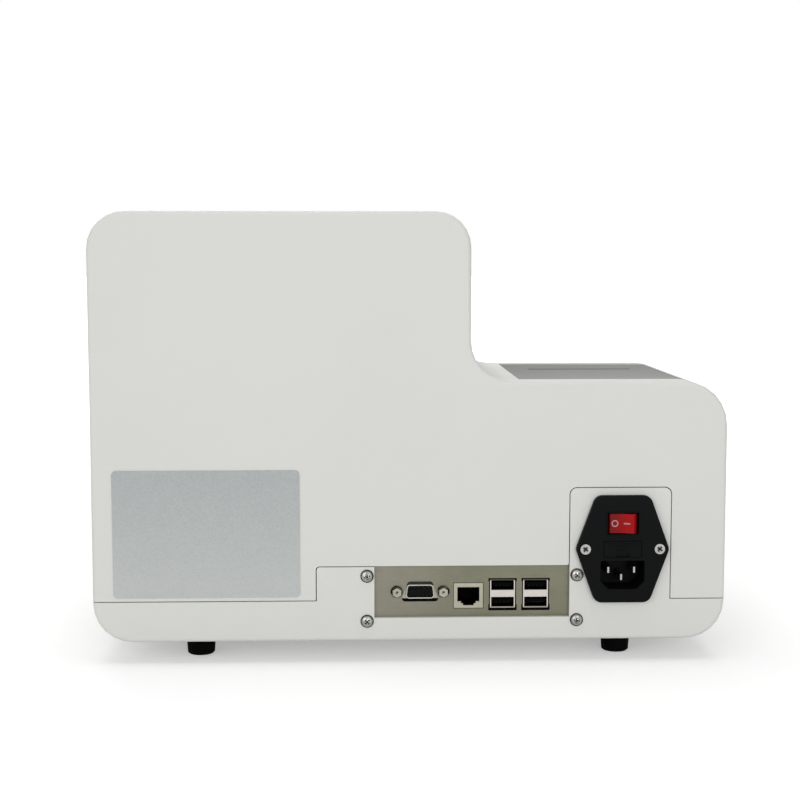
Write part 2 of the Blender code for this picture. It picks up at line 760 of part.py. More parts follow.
def slice_outline(corners, radii, shifts, steps):
    """The side profile with each edge shifted inwards by its own amount."""
    shifted = []
    swept = []
    for index, corner in enumerate(corners):
        before = Vector(corner) - Vector(corners[index - 1])
        after = Vector(corners[(index + 1) % len(corners)]) - Vector(corner)
        first = Vector((before.y, -before.x)).normalized()
        second = Vector((after.y, -after.x)).normalized()
        a, b = shifts[index - 1], shifts[index]
        crossing = first.cross(second)
        x = (a * second.y - b * first.y) / crossing
        z = (b * first.x - a * second.x) / crossing
        shifted.append(Vector(corner) + Vector((x, z)))
        outward = 1 if crossing < 0 else -1
        radius = radii[index] - outward * (a + b) / 2
        swept.append(max(radius, SMALLEST_RADIUS) if radii[index] else 0)
    return rounded(shifted, swept, steps)


def slices(inset, steps):
    """Places across the housing with the side profile at each, from the low end to the tall end."""
    low = [(0, BASE_Z), (0, LOW_TOP_Z), (LOW_TOP_DEPTH, LOW_TOP_Z), (DECK_FOOT_DEPTH, DECK_Z)]
    low += [(BODY_DEPTH, DECK_Z), (BODY_DEPTH, BASE_Z)]
    tall = [(0, BASE_Z), (0, TALL_TOP_Z), (TALL_TOP_DEPTH, TALL_TOP_Z)]
    tall += [(SLOPE_FOOT_DEPTH, BASE_Z + SLOPE_FOOT_HEIGHT), (BODY_DEPTH, BASE_Z + NOSE_HEIGHT)]
    tall += [(BODY_DEPTH, BASE_Z)]
    low_radii = (0, 0, LOW_CREST_RADIUS, LOW_FOOT_RADIUS, LOW_NOSE_RADIUS, FRONT_FOOT_RADIUS)
    tall_radii = (0, 0, TALL_CREST_RADIUS, TALL_FOOT_RADIUS, TALL_NOSE_RADIUS, FRONT_FOOT_RADIUS)

    def end(face_x, inwards, radii, corners, corner_radii):
        reduced = [max(radius - inset, 0) for radius in radii]
        made = []
        for step in range(steps + 1):
            distance = max(reduced) * (1 - math.cos(math.pi / 2 * step / steps))
            shifts = [inset + drawn_in(radius, distance) for radius in reduced]
            x = face_x + inwards * (inset + distance)
            made.append((x, slice_outline(corners, corner_radii, shifts, steps)))
        return made

    def fillet():
        made = []
        start = STEP_X - STEP_FILLET
        reach = STEP_FILLET + inset
        for step in range(steps + 1):
            share = math.sin(math.pi / 2 * step / steps)
            rise = 1 - math.sqrt(1 - share**2)
            shifts = [inset - (height + inset) * rise if height else inset for height in STEP_FILLET_RISES]
            made.append((start + reach * share, slice_outline(low, low_radii, shifts, steps)))
        return made

    made = end(LOW_X, 1, LOW_END_RADII, low, low_radii)
    made += fillet()
    made += end(STEP_X, 1, STEP_END_RADII, tall, tall_radii)
    made += end(TALL_X, -1, TALL_END_RADII, tall, tall_radii)[::-1]
    return made


def housing_form(inset, steps, rear_edge=0.0):
    """The housing's outer form as one solid, drawn in all round by an inset."""
    bm = bmesh.new()
    rings = []
    for x, outline in slices(inset, steps):
        rings.append([bm.verts.new(place(x, point.x, point.y)) for point in outline])
    for ring, following in zip(rings, rings[1:]):
        for index in range(len(ring)):
            after = (index + 1) % len(ring)
            bm.faces.new((ring[index], ring[after], following[after], following[index]))
    bm.faces.new(rings[0])
    bm.faces.new(rings[-1])
    bmesh.ops.remove_doubles(bm, verts=bm.verts, dist=MERGE)
    rear = REAR_Y - inset - MERGE
    front = REAR_Y - BODY_DEPTH + inset + MERGE
    step = STEP_X + inset
    flat_checks = (
        lambda point: point.y > rear,
        lambda point: point.y < front,
        lambda point: abs(point.x - step) < MERGE,
    )
    for in_plane in flat_checks:
        flat = [face for face in bm.faces if all(in_plane(vert.co) for vert in face.verts)]
        bmesh.ops.dissolve_faces(bm, faces=flat)
    bmesh.ops.recalc_face_normals(bm, faces=bm.faces)
    if rear_edge:
        rim = [edge for edge in bm.edges if all(v.co.y > rear for v in edge.verts)]
        bmesh.ops.bevel(
            bm, geom=rim, offset=rear_edge, segments=PLAIN_STEPS, profile=ROUND_EDGE_SHARE, affect="EDGES"
        )
    return mesh_from(bm, "housing_form")


def tab_path(grow):
    """The stepped edge of the lower housing in the rear wall, from the low side to the tall side."""
    power_top = BASE_Z + POWER_TAB_HEIGHT + grow
    io_top = BASE_Z + IO_TAB_HEIGHT + grow
    low_x, high_x = POWER_TAB_X[0] - grow, POWER_TAB_X[1] + grow
    corners = [(low_x, SEAM_Z), (low_x, power_top), (high_x, power_top), (high_x, io_top)]
    corners += [(IO_TAB_X + grow, io_top), (IO_TAB_X + grow, SEAM_Z)]
    radius = POWER_TAB_RADIUS + grow
    return corners, [0, radius, radius, IO_TAB_RADIUS - grow, IO_TAB_RADIUS + grow, 0]


def rear_tabs_region(grow):
    """The outline of the tabs, down to just below the seam."""
    corners, radii = tab_path(grow)
    below = SEAM_Z - OVERRUN
    corners = [(corners[0][0], below), *corners[1:-1], (corners[-1][0], below)]
    return rounded(corners, radii, FINE_STEPS)


def above_seam_region():
    """The outline of all that lies above the stepped edge in the rear wall."""
    corners, radii = tab_path(0)
    top = TALL_TOP_Z + OVERRUN
    corners = [(LOW_X - OVERRUN, SEAM_Z), *corners, (TALL_X + OVERRUN, SEAM_Z)]
    corners += [(TALL_X + OVERRUN, top), (LOW_X - OVERRUN, top)]
    return rounded(corners, [0, *radii, 0, 0, 0], FINE_STEPS)


def screw_places():
    """Places across and heights of the four screws round the panel window."""
    xs = (WINDOW_X[0] - SCREW_OUTSET, WINDOW_X[1] + SCREW_OUTSET)
    zs = (BASE_Z + SCREW_LOWER_HEIGHT, BASE_Z + SCREW_UPPER_HEIGHT)
    return [(x, z) for x in xs for z in zs]


def foot_places():
    """Places across and depths of the four feet."""
    depths = (FOOT_INSET, BODY_DEPTH - FOOT_INSET)
    return [(x, depth) for x in (LOW_X + FOOT_SIDE_INSET, TALL_X - FOOT_SIDE_INSET) for depth in depths]


def post_places():
    """Places across and depths of the posts under the chassis."""
    xs = (CHASSIS_X[0] + POST_INSET, STEP_X - POST_INSET / 2)
    depths = (CHASSIS_DEPTHS[0] + POST_INSET, CHASSIS_DEPTHS[1] - POST_INSET)
    return [(x, depth) for x in xs for depth in depths]


def board_corners():
    """Places across and depths of the standoffs under the main board."""
    xs = (LOW_X + BOARD_OFFSET + STANDOFF_INSET, LOW_X + BOARD_OFFSET + BOARD_WIDTH - STANDOFF_INSET)
    depths = (BOARD_REAR + STANDOFF_INSET, BOARD_REAR + BOARD_DEPTH - STANDOFF_INSET)
    return [(x, depth) for x in xs for depth in depths]


def supply_corners():
    """Places across and depths of the standoffs under the power supply."""
    xs = (LOW_X + SUPPLY_INSET + STANDOFF_INSET, LOW_X + SUPPLY_INSET + SUPPLY_WIDTH - STANDOFF_INSET)
    depths = (SUPPLY_REAR + STANDOFF_INSET, SUPPLY_REAR + SUPPLY_DEPTH - STANDOFF_INSET)
    return [(x, depth) for x in xs for depth in depths]


def pillar(x, depth, radius, top):
    """A moulded pillar on the lower housing's floor."""
    return rod(radius, place(x, depth, FLOOR_Z - SEAT), place(x, depth, top), SMALL_SIDES)


def drawer_x():
    """The two sides of the waste drawer's front."""
    return STEP_X + DRAWER_STEP_MARGIN, TALL_X - DRAWER_INSET


def make_lower_housing(finish):
    """The lower shell, with the rear tabs, the panel window and the pillars for what it carries."""
    lower = piece("lower_housing", housing_form(0, FINE_STEPS, REAR_EDGE), finish)
    through = (-OVERRUN, WALL + OVERRUN)
    above = box(
        (LOW_X - OVERRUN, TALL_X + OVERRUN),
        (WALL + GAP, BODY_DEPTH + OVERRUN),
        (SEAM_Z, TALL_TOP_Z + OVERRUN),
    )
    cut(lower, housing_form(WALL, INNER_STEPS), above, back_prism(above_seam_region(), through))
    window = box(WINDOW_X, through, (WINDOW_Z[0], WINDOW_Z[1] + OVERRUN))
    inlet_hole = box(
        (INLET_X - INLET_BODY_WIDTH / 2 - GAP, INLET_X + INLET_BODY_WIDTH / 2 + GAP),
        through,
        (INLET_Z - INLET_BODY_HEIGHT / 2 - GAP, INLET_Z + INLET_BODY_HEIGHT / 2 + GAP),
    )
    cut(lower, window, inlet_hole)
    for x, z in screw_places():
        cut(lower, rod(SCREW_HOLE_RADIUS, place(x, through[0], z), place(x, through[1], z), TINY_SIDES))
    for side in (-1, 1):
        x = INLET_X + side * INLET_SCREW_SPACING / 2
        ends = place(x, through[0], INLET_Z), place(x, through[1], INLET_Z)
        cut(lower, rod(SCREW_HOLE_RADIUS, *ends, TINY_SIDES))
    for x, depth in foot_places():
        stem = FOOT_STEM_RADIUS + GAP
        ends = place(x, depth, BASE_Z - OVERRUN), place(x, depth, FLOOR_Z + OVERRUN)
        cut(lower, rod(stem, *ends, TINY_SIDES))
    for x, depth in post_places():
        join(lower, pillar(x, depth, POST_RADIUS, CHASSIS_Z[0] - GAP))
    for x, depth in board_corners():
        join(lower, pillar(x, depth, STANDOFF_RADIUS, BASE_Z + BOARD_HEIGHT - GAP))
    for x, depth in supply_corners():
        join(lower, pillar(x, depth, STANDOFF_RADIUS, FLOOR_Z + SUPPLY_RISE - GAP))
    drawer_low, drawer_high = drawer_x()
    runner_depths = (BODY_DEPTH - DRAWER_BOX_DEPTH, BODY_DEPTH - RUNNER_FRONT_INSET)
    runner_zs = (FLOOR_Z - SEAT, BASE_Z + DRAWER_BOTTOM + RUNNING_GAP)
    for x in (drawer_low + DRAWER_SIDE_STEP, drawer_high - DRAWER_SIDE_STEP - RUNNER_WIDTH):
        join(lower, box((x, x + RUNNER_WIDTH), runner_depths, runner_zs))
    return lower


def slope_frame():
    """The screen's own frame: origin on the slope's face, Y up the slope and Z out of it."""
    run = SLOPE_FOOT_DEPTH - TALL_TOP_DEPTH
    rise = TALL_HEIGHT - SLOPE_FOOT_HEIGHT
    depth = (SLOPE_FOOT_DEPTH + TALL_TOP_DEPTH) / 2
    middle = place((STEP_X + TALL_X) / 2, depth, BASE_Z + SLOPE_FOOT_HEIGHT + rise / 2)
    return Matrix.Translation(middle) @ Matrix.Rotation(math.atan2(rise, run), 4, "X")


def slope_slab(width, height, radius, front, back, holes=()):
    """A flat piece on the slope, between two distances from its face."""
    outline = oblong((-width / 2, width / 2), (-height / 2, height / 2), radius)
    mesh = flat_shape([outline, *holes], front - back)
    return moved(mesh, slope_frame() @ Matrix.Translation((0, 0, (front + back) / 2)))


def screen_ears():
    """Middles of the bracket's four ears, in the slope's frame."""
    x = SCREEN_WIDTH / 2 - LCD_MARGIN - BRACKET_EAR_WIDTH
    y = SCREEN_HEIGHT / 2 + BRACKET_EAR_REACH / 2
    return [(side * x, end * y) for side in (-1, 1) for end in (-1, 1)]


def lcd_back():
    """Distance from the slope's face to the back of the LCD module."""
    return -GLASS_RECESS - GLASS_THICKNESS - 2 * GAP - LCD_THICKNESS


def make_upper_cover(finish):
    """The upper shell, open for the screen, the strip tray, the printer lid and the drawer."""
    cover = piece("upper_cover", housing_form(0, FINE_STEPS, REAR_EDGE), finish)
    across = (LOW_X - OVERRUN, TALL_X + OVERRUN)
    below = box(across, (-OVERRUN, BODY_DEPTH + OVERRUN), (BASE_Z - OVERRUN, SEAM_Z + SEAM_GAP))
    tabs = back_prism(rear_tabs_region(SEAM_GAP), (-OVERRUN, WALL + OVERRUN))
    cut(cover, housing_form(WALL, INNER_STEPS), below, tabs)
    lid_xs = (LID_X[0] - OPENING_GAP, LID_X[1] + OPENING_GAP)
    lid_depths = (LID_DEPTHS[0] - OPENING_GAP, LID_DEPTHS[1] + OPENING_GAP)
    front_radii = [0, 0, LID_CORNER_RADIUS + OPENING_GAP, LID_CORNER_RADIUS + OPENING_GAP]
    opening = oblong(lid_xs, lid_depths, front_radii)
    frame_xs = (lid_xs[0] - LID_FRAME_WIDTH, lid_xs[1] + LID_FRAME_WIDTH)
    frame_depths = (lid_depths[0] - LID_FRAME_WIDTH, lid_depths[1] + LID_FRAME_WIDTH)
    frame_zs = (bin_rim_z()[1] + GAP, LOW_TOP_Z - WALL + SEAT)
    join(cover, top_prism(oblong(frame_xs, frame_depths, LID_CORNER_RADIUS), frame_zs))
    cut(cover, top_prism(opening, (LOW_TOP_Z - WALL - OVERRUN, LOW_TOP_Z + OVERRUN)))
    tray_xs = (TRAY_X[0] - OPENING_GAP, STEP_X + WALL + OVERRUN)
    tray_depths = (TRAY_REAR - OPENING_GAP, TRAY_REAR + TRAY_DEPTH + OPENING_GAP)
    cut(cover, box(tray_xs, tray_depths, (RIB_TOP_Z, RIB_TOP_Z + TUNNEL_HEADROOM)))
    drawer_low, drawer_high = drawer_x()
    drawer_z = BASE_Z + DRAWER_BOTTOM
    drawer_zs = (drawer_z - OPENING_GAP, drawer_z + DRAWER_FRONT_HEIGHT + OPENING_GAP)
    drawer_xs = (drawer_low - OPENING_GAP, drawer_high + OPENING_GAP)
    hole = oblong(drawer_xs, drawer_zs, DRAWER_RADIUS + OPENING_GAP)
    cut(cover, back_prism(hole, (BODY_DEPTH - WALL - OVERRUN, BODY_DEPTH + OVERRUN)))
    glass_gap = 2 * GAP
    pocket_back = -GLASS_RECESS - GLASS_THICKNESS - GAP
    cut(
        cover,
        slope_slab(SCREEN_WIDTH + glass_gap, SCREEN_HEIGHT + glass_gap, SCREEN_RADIUS, OVERRUN, pocket_back),
        slope_slab(
            SCREEN_WIDTH - 2 * GLASS_LEDGE,
            SCREEN_HEIGHT - 2 * GLASS_LEDGE,
            SCREEN_RADIUS,
            OVERRUN,
            -WALL - OVERRUN,
        ),
    )
    for x, y in screen_ears():
        back = lcd_back() + GAP
        base = slope_frame() @ Vector((x, y, -WALL + SEAT))
        tip = slope_frame() @ Vector((x, y, back))
        join(cover, rod(SCREEN_BOSS_RADIUS, base, tip, SMALL_SIDES))
    return cover


def make_feet(finish):
    """Four tapered rubber feet, each with a stem pressed through the floor."""
    stem_top = FLOOR_Z + FOOT_STEM_RISE - WALL
    profile = [
        (0, stem_top),
        (FOOT_STEM_RADIUS, stem_top),
        (FOOT_STEM_RADIUS, BASE_Z - GAP),
        (FOOT_TOP_RADIUS, BASE_Z - GAP),
        (FOOT_BOTTOM_RADIUS, FOOT_EDGE),
        (FOOT_BOTTOM_RADIUS - FOOT_EDGE, 0),
        (FOOT_HOLLOW_RADIUS, 0),
        (FOOT_HOLLOW_RADIUS, FOOT_HOLLOW_DEPTH),
        (0, FOOT_HOLLOW_DEPTH),
    ]
    for number, (x, depth) in enumerate(foot_places(), 1):
        foot = turned(profile, SMALL_SIDES)
        piece(f"foot_{number}", moved(foot, Matrix.Translation(place(x, depth, 0))), finish)


# The rear panel

def facing_back(mesh, x, depth, z):
    """Turns a mesh that points up so that it points out of the rear face."""
    return moved(mesh, Matrix.Translation(place(x, depth, z)) @ Matrix.Rotation(-math.pi / 2, 4, "X"))


def cross_recess(x, depth, z, turn):
    """The cross cut into a screw head whose top lies at a depth."""
    cutters_made = []
    for quarter in (0, math.pi / 2):
        bm = bmesh.new()
        sizes = (RECESS_SPAN, RECESS_WIDTH, 2 * RECESS_DEPTH)
        turned_slot = Matrix.Rotation(turn + quarter, 4, "Z") @ Matrix.Diagonal(sizes).to_4x4()
        bmesh.ops.create_cube(bm, size=UNIT_SIDE, matrix=turned_slot)
        cutters_made.append(facing_back(mesh_from(bm), x, depth, z))
    return cutters_made


def make_io_screws(finish):
    """Four pan-head screws that hold the panel from outside."""
    head = [(0, PAN_RISE)]
    for step in range(1, PLAIN_STEPS + 1):
        angle = math.pi / 2 * step / PLAIN_STEPS
        lift = (PAN_RISE - PAN_RIM_RISE) * math.cos(angle)
        head.append((PAN_RADIUS * math.sin(angle), PAN_RIM_RISE + lift))
    profile = [*head, (PAN_RADIUS, 0), (SCREW_SHANK_RADIUS, 0)]
    profile += [(SCREW_SHANK_RADIUS, -SCREW_LENGTH), (0, -SCREW_LENGTH)]
    for number, (x, z) in enumerate(screw_places(), 1):
        screw = piece(f"io_screw_{number}", facing_back(turned(profile, SMALL_SIDES), x, -GAP, z), finish)
        cut(screw, *cross_recess(x, -GAP - PAN_RISE, z, math.radians(IO_SCREW_TURN * number)))


def video_outline(top, bottom, height, radius, middle):
    """The D shape of the video connector, wider at its lower side."""
    x, z = middle
    corners = [(x - bottom / 2, z - height / 2), (x + bottom / 2, z - height / 2)]
    corners += [(x + top / 2, z + height / 2), (x - top / 2, z + height / 2)]
    return rounded(corners, radius)


def video_middle():
    """Middle of the video connector, across and in height."""
    return WINDOW_X[0] + VIDEO_OFFSET, BASE_Z + VIDEO_HEIGHT


def jack_xs():
    """Places across of the two jack screws."""
    x = video_middle()[0]
    return x - JACK_SPACING / 2, x + JACK_SPACING / 2


def network_x():
    """Low side and high side of the network jack."""
    middle = WINDOW_X[0] + NETWORK_OFFSET
    return middle - NETWORK_WIDTH / 2, middle + NETWORK_WIDTH / 2


def usb_x(offset):
    """Low side and high side of a USB stack."""
    middle = WINDOW_X[0] + offset
    return middle - USB_WIDTH / 2, middle + USB_WIDTH / 2


def make_io_plate(finish):
    """The sheet behind the window, pierced for each connector."""
    xs = (WINDOW_X[0] - PLATE_MARGIN, WINDOW_X[1] + PLATE_MARGIN)
    zs = (WINDOW_Z[0] - PLATE_LOWER_MARGIN, WINDOW_Z[1] + OVERRUN)
    plate = piece("io_plate", box(xs, PLATE_DEPTHS, zs), finish)
    through = (PLATE_DEPTHS[0] - OVERRUN, PLATE_DEPTHS[1] + OVERRUN)
    x, z = video_middle()
    cutout_sizes = (VIDEO_CUTOUT_TOP, VIDEO_CUTOUT_BOTTOM, VIDEO_CUTOUT_HEIGHT)
    cutout = video_outline(*cutout_sizes, VIDEO_CUTOUT_RADIUS, (x, z))
    cut(plate, back_prism(cutout, through))
    for jack_x in jack_xs():
        cut(plate, back_prism(circle(JACK_EAR_RADIUS, (jack_x, z)), through))
    low, high = network_x()
    bottom = BASE_Z + NETWORK_BOTTOM
    cut(plate, box((low - GAP, high + GAP), through, (bottom - GAP, bottom + NETWORK_HEIGHT + GAP)))
    for offset in USB_OFFSETS:
        low, high = usb_x(offset)
        bottom = BASE_Z + USB_BOTTOM
        zs = (bottom - CUTOUT_GAP, bottom + USB_HEIGHT + CUTOUT_GAP)
        cut(plate, box((low - CUTOUT_GAP, high + CUTOUT_GAP), through, zs))
    for screw_x, screw_z in screw_places():
        ends = place(screw_x, through[0], screw_z), place(screw_x, through[1], screw_z)
        cut(plate, rod(SCREW_HOLE_RADIUS, *ends, TINY_SIDES))
    return plate


def make_video_connector(metal, insulator, nickel):
    """The video connector: flange and D-shaped shell, insert with its contact holes, and two jack screws."""
    x, z = video_middle()
    flange_depths = (PLATE_DEPTHS[1] + GAP, PLATE_DEPTHS[1] + GAP + VIDEO_FLANGE_THICKNESS)
    flange = oblong(
        (x - VIDEO_FLANGE_WIDTH / 2, x + VIDEO_FLANGE_WIDTH / 2),
        (z - VIDEO_FLANGE_HEIGHT / 2, z + VIDEO_FLANGE_HEIGHT / 2),
        VIDEO_FLANGE_RADIUS,
    )
    shell = piece("video_shell", back_prism(flange, flange_depths), metal)
    front = PLATE_DEPTHS[0] - VIDEO_SHELL_PROUD
    outer_sizes = (VIDEO_SHELL_TOP, VIDEO_SHELL_BOTTOM, VIDEO_SHELL_HEIGHT)
    outer = video_outline(*outer_sizes, VIDEO_SHELL_RADIUS, (x, z))
    join(shell, back_prism(outer, (front, flange_depths[1] - SEAT)))
    inner_sizes = [size - 2 * VIDEO_SHELL_WALL for size in outer_sizes]
    inner = video_outline(*inner_sizes, VIDEO_SHELL_RADIUS - VIDEO_SHELL_WALL, (x, z))
    cut(shell, back_prism(inner, (front - OVERRUN, flange_depths[1] + OVERRUN)))
    for jack_x in jack_xs():
        ends = place(jack_x, flange_depths[0] - OVERRUN, z), place(jack_x, flange_depths[1] + OVERRUN, z)
        cut(shell, rod(JACK_SHANK_RADIUS + GAP, *ends, TINY_SIDES))

    insert_sizes = [size - 2 * GAP for size in inner_sizes]
    insert = video_outline(*insert_sizes, VIDEO_SHELL_RADIUS - VIDEO_SHELL_WALL, (x, z))
    face = front + VIDEO_INSERT_DROP
    body_rear = flange_depths[1] + GAP
    block = piece("video_insert", back_prism(insert, (face, face + VIDEO_INSERT_LENGTH)), insulator)
    body_xs = (x - VIDEO_BODY_WIDTH / 2, x + VIDEO_BODY_WIDTH / 2)
    body_zs = (BASE_Z + BOARD_HEIGHT + BOARD_THICKNESS + GAP, z + VIDEO_FLANGE_HEIGHT / 2)
    join(block, box(body_xs, (body_rear, body_rear + VIDEO_BODY_LENGTH), body_zs))
    for jack_x in jack_xs():
        ends = place(jack_x, body_rear - OVERRUN, z), place(jack_x, body_rear + JACK_SHANK_LENGTH, z)
        cut(block, rod(JACK_SHANK_RADIUS + GAP, *ends, TINY_SIDES))
    for row in range(CONTACT_ROWS):
        for column in range(CONTACTS_PER_ROW):
            hole_x = x + (column - (CONTACTS_PER_ROW - 1) / 2) * CONTACT_PITCH
            hole_z = z + (row - (CONTACT_ROWS - 1) / 2) * CONTACT_ROW_PITCH
            ends = place(hole_x, face - OVERRUN, hole_z), place(hole_x, face + CONTACT_DEPTH, hole_z)
            cut(block, rod(CONTACT_RADIUS, *ends, HEX_SIDES))

    for name, jack_x in zip(("low", "high"), jack_xs()):
        tip = flange_depths[0] - GAP - JACK_LENGTH
        root = flange_depths[0] - GAP
        hexagon = rod(JACK_RADIUS, place(jack_x, tip, z), place(jack_x, root, z), HEX_SIDES)
        jack = piece(f"video_jack_{name}", hexagon, nickel)
        shank_end = place(jack_x, root + JACK_SHANK_LENGTH, z)
        join(jack, rod(JACK_SHANK_RADIUS, place(jack_x, root - SEAT, z), shank_end, TINY_SIDES))
        hole_end = place(jack_x, tip + JACK_LENGTH, z)
        cut(jack, rod(JACK_HOLE_RADIUS, place(jack_x, tip - OVERRUN, z), hole_end, TINY_SIDES))


def make_network_jack(metal):
    """The shielded network jack, with its mouth and the notch for the plug's latch."""
    low, high = network_x()
    middle = (low + high) / 2
    bottom = BASE_Z + NETWORK_BOTTOM
    front = PLATE_DEPTHS[0]
    block = box((low, high), (front, front + NETWORK_LENGTH), (bottom, bottom + NETWORK_HEIGHT))
    jack = piece("network_jack", block, metal)
    mouth_top = bottom + NETWORK_HEIGHT - NETWORK_FRAME_TOP
    mouth_bottom = mouth_top - NETWORK_MOUTH_HEIGHT
    depths = (front - OVERRUN, front + NETWORK_MOUTH_DEPTH)
    steps = (
        (NETWORK_MOUTH_WIDTH, mouth_bottom),
        (NETWORK_STEP_WIDTH, mouth_bottom - NETWORK_LATCH_HEIGHT / 2),
        (NETWORK_LATCH_WIDTH, mouth_bottom - NETWORK_LATCH_HEIGHT),
    )
    for width, floor in steps:
        cut(jack, box((middle - width / 2, middle + width / 2), depths, (floor, mouth_top)))


def make_usb_stacks(metal):
    """Two stacks of two ports, each a folded shell with two mouths and a tongue in each."""
    for number, offset in enumerate(USB_OFFSETS, 1):
        low, high = usb_x(offset)
        bottom = BASE_Z + USB_BOTTOM
        front = PLATE_DEPTHS[0]
        block = box((low, high), (front, front + USB_LENGTH), (bottom, bottom + USB_HEIGHT))
        shell = piece(f"usb_stack_{number}", block, metal)
        for lift in (USB_WALL, USB_HEIGHT - USB_WALL - USB_MOUTH_HEIGHT):
            base = bottom + lift
            depths = (front - OVERRUN, front + USB_MOUTH_DEPTH)
            cut(shell, box((low + USB_WALL, high - USB_WALL), depths, (base, base + USB_MOUTH_HEIGHT)))
            top = base + USB_MOUTH_HEIGHT - USB_TONGUE_DROP
            tongue_depths = (front + OVERRUN, front + USB_MOUTH_DEPTH + SEAT)
            tongue_xs = (low + 2 * USB_WALL, high - 2 * USB_WALL)
            join(shell, box(tongue_xs, tongue_depths, (top - USB_TONGUE_HEIGHT, top)))


def make_label(finish):
    """The bare label plate on the rear face."""
    zs = (BASE_Z + LABEL_BOTTOM, BASE_Z + LABEL_BOTTOM + LABEL_HEIGHT)
    outline = oblong(LABEL_X, zs, LABEL_RADIUS)
    piece("label_plate", back_prism(outline, (-LABEL_GAP - LABEL_THICKNESS, -LABEL_GAP)), finish)


# The power inlet

def flange_outline():
    """Six-sided flange: flat above and below, pointed at the two screws."""
    half_flat, half_height = FLANGE_FLAT / 2, FLANGE_HEIGHT / 2
    reach = FLANGE_WIDTH / 2
    corners = [(half_flat, half_height), (-half_flat, half_height), (-reach, 0)]
    corners += [(-half_flat, -half_height), (half_flat, -half_height), (reach, 0)]
    corners = [(INLET_X + x, INLET_Z + z) for x, z in corners]
    radii = [FLANGE_RADIUS, FLANGE_RADIUS, FLANGE_POINT_RADIUS] * 2
    return rounded(corners, radii, FINE_STEPS)


def socket_outline():
    """The mouth of the appliance inlet, with its two lower corners cut off."""
    half = SOCKET_WIDTH / 2
    top = INLET_Z - SOCKET_DROP + SOCKET_HEIGHT / 2
    bottom = top - SOCKET_HEIGHT
    corners = [(INLET_X - half, top), (INLET_X - half, bottom + SOCKET_CHAMFER)]
    corners += [(INLET_X - half + SOCKET_CHAMFER, bottom), (INLET_X + half - SOCKET_CHAMFER, bottom)]
    corners += [(INLET_X + half, bottom + SOCKET_CHAMFER), (INLET_X + half, top)]
    return rounded(corners, SOCKET_RADIUS)


def pin_places():
    """Places across and heights of the two live pins and the earth pin below them."""
    z = INLET_Z - SOCKET_DROP + PIN_RISE
    half = PIN_SPACING / 2
    return {"neutral": (INLET_X - half, z), "line": (INLET_X + half, z), "earth": (INLET_X, z - EARTH_DROP)}


def fuse_drawer_z():
    """Bottom and top of the fuse drawer's face."""
    return INLET_Z - FUSE_DRAWER_HEIGHT / 2, INLET_Z + FUSE_DRAWER_HEIGHT / 2


def rocker_axis():
    """A point on the rocker's upright axis."""
    return place(INLET_X, FLANGE_DEPTH + ROCKER_PIVOT_DEPTH, INLET_Z + ROCKER_RISE)


def make_inlet(black, brass, red, steel, glass):
    """The power inlet: moulded body, three pins, rocker, fuse drawer with its fuse, and two screws."""
    body = piece("inlet_body", back_prism(flange_outline(), (FLANGE_DEPTH, -GAP)), black)
    half_width, half_height = INLET_BODY_WIDTH / 2, INLET_BODY_HEIGHT / 2
    block = box(
        (INLET_X - half_width, INLET_X + half_width),
        (-GAP - SEAT, INLET_BODY_DEPTH),
        (INLET_Z - half_height, INLET_Z + half_height),
    )
    join(body, block)
    cut(body, back_prism(socket_outline(), (FLANGE_DEPTH - OVERRUN, FLANGE_DEPTH + SOCKET_DEPTH)))
    rocker_z = INLET_Z + ROCKER_RISE
    bay = box(
        (INLET_X - ROCKER_BAY_WIDTH / 2, INLET_X + ROCKER_BAY_WIDTH / 2),
        (FLANGE_DEPTH - OVERRUN, FLANGE_DEPTH + ROCKER_BAY_DEPTH),
        (rocker_z - ROCKER_HEIGHT / 2 - RUNNING_GAP, rocker_z + ROCKER_HEIGHT / 2 + RUNNING_GAP),
    )
    axis = rocker_axis()
    half_bearing = Vector((0, 0, ROCKER_AXLE_LENGTH / 2 + ROCKER_BEARING_END_GAP))
    bearing = rod(ROCKER_AXLE_RADIUS + BEARING_GAP, axis - half_bearing, axis + half_bearing, TINY_SIDES)
    low, high = fuse_drawer_z()
    fuse_bay = box(
        (INLET_X - FUSE_DRAWER_WIDTH / 2 - GAP, INLET_X + FUSE_DRAWER_WIDTH / 2 + GAP),
        (FLANGE_DEPTH - OVERRUN, FLANGE_DEPTH + FUSE_DRAWER_DEPTH + GAP),
        (low - GAP, high + GAP),
    )
    cut(body, bay, bearing, fuse_bay)
    for x, z in pin_places().values():
        slot = box(
            (x - PIN_WIDTH / 2 - GAP, x + PIN_WIDTH / 2 + GAP),
            (FLANGE_DEPTH + SOCKET_DEPTH - OVERRUN, INLET_BODY_DEPTH + OVERRUN),
            (z - PIN_HEIGHT / 2 - GAP, z + PIN_HEIGHT / 2 + GAP),
        )
        cut(body, slot)
    for side in (-1, 1):
        x = INLET_X + side * INLET_SCREW_SPACING / 2
        sink_end = FLANGE_DEPTH + COUNTERSUNK_DEPTH + GAP
        sink = rod(
            COUNTERSUNK_RADIUS + 2 * GAP,
            place(x, FLANGE_DEPTH - GAP, INLET_Z),
            place(x, sink_end, INLET_Z),
            SMALL_SIDES,
            INLET_SHANK_RADIUS + GAP,
        )
        hole_ends = place(x, FLANGE_DEPTH - GAP, INLET_Z), place(x, OVERRUN, INLET_Z)
        hole = rod(INLET_SHANK_RADIUS + GAP, *hole_ends, TINY_SIDES)
        cut(body, sink, hole)
        make_inlet_screw(x, "low" if side < 0 else "high", steel)

    for name, (x, z) in pin_places().items():
        make_inlet_pin(name, x, z, brass)
    make_rocker(red)
    make_fuse_drawer(black, glass)


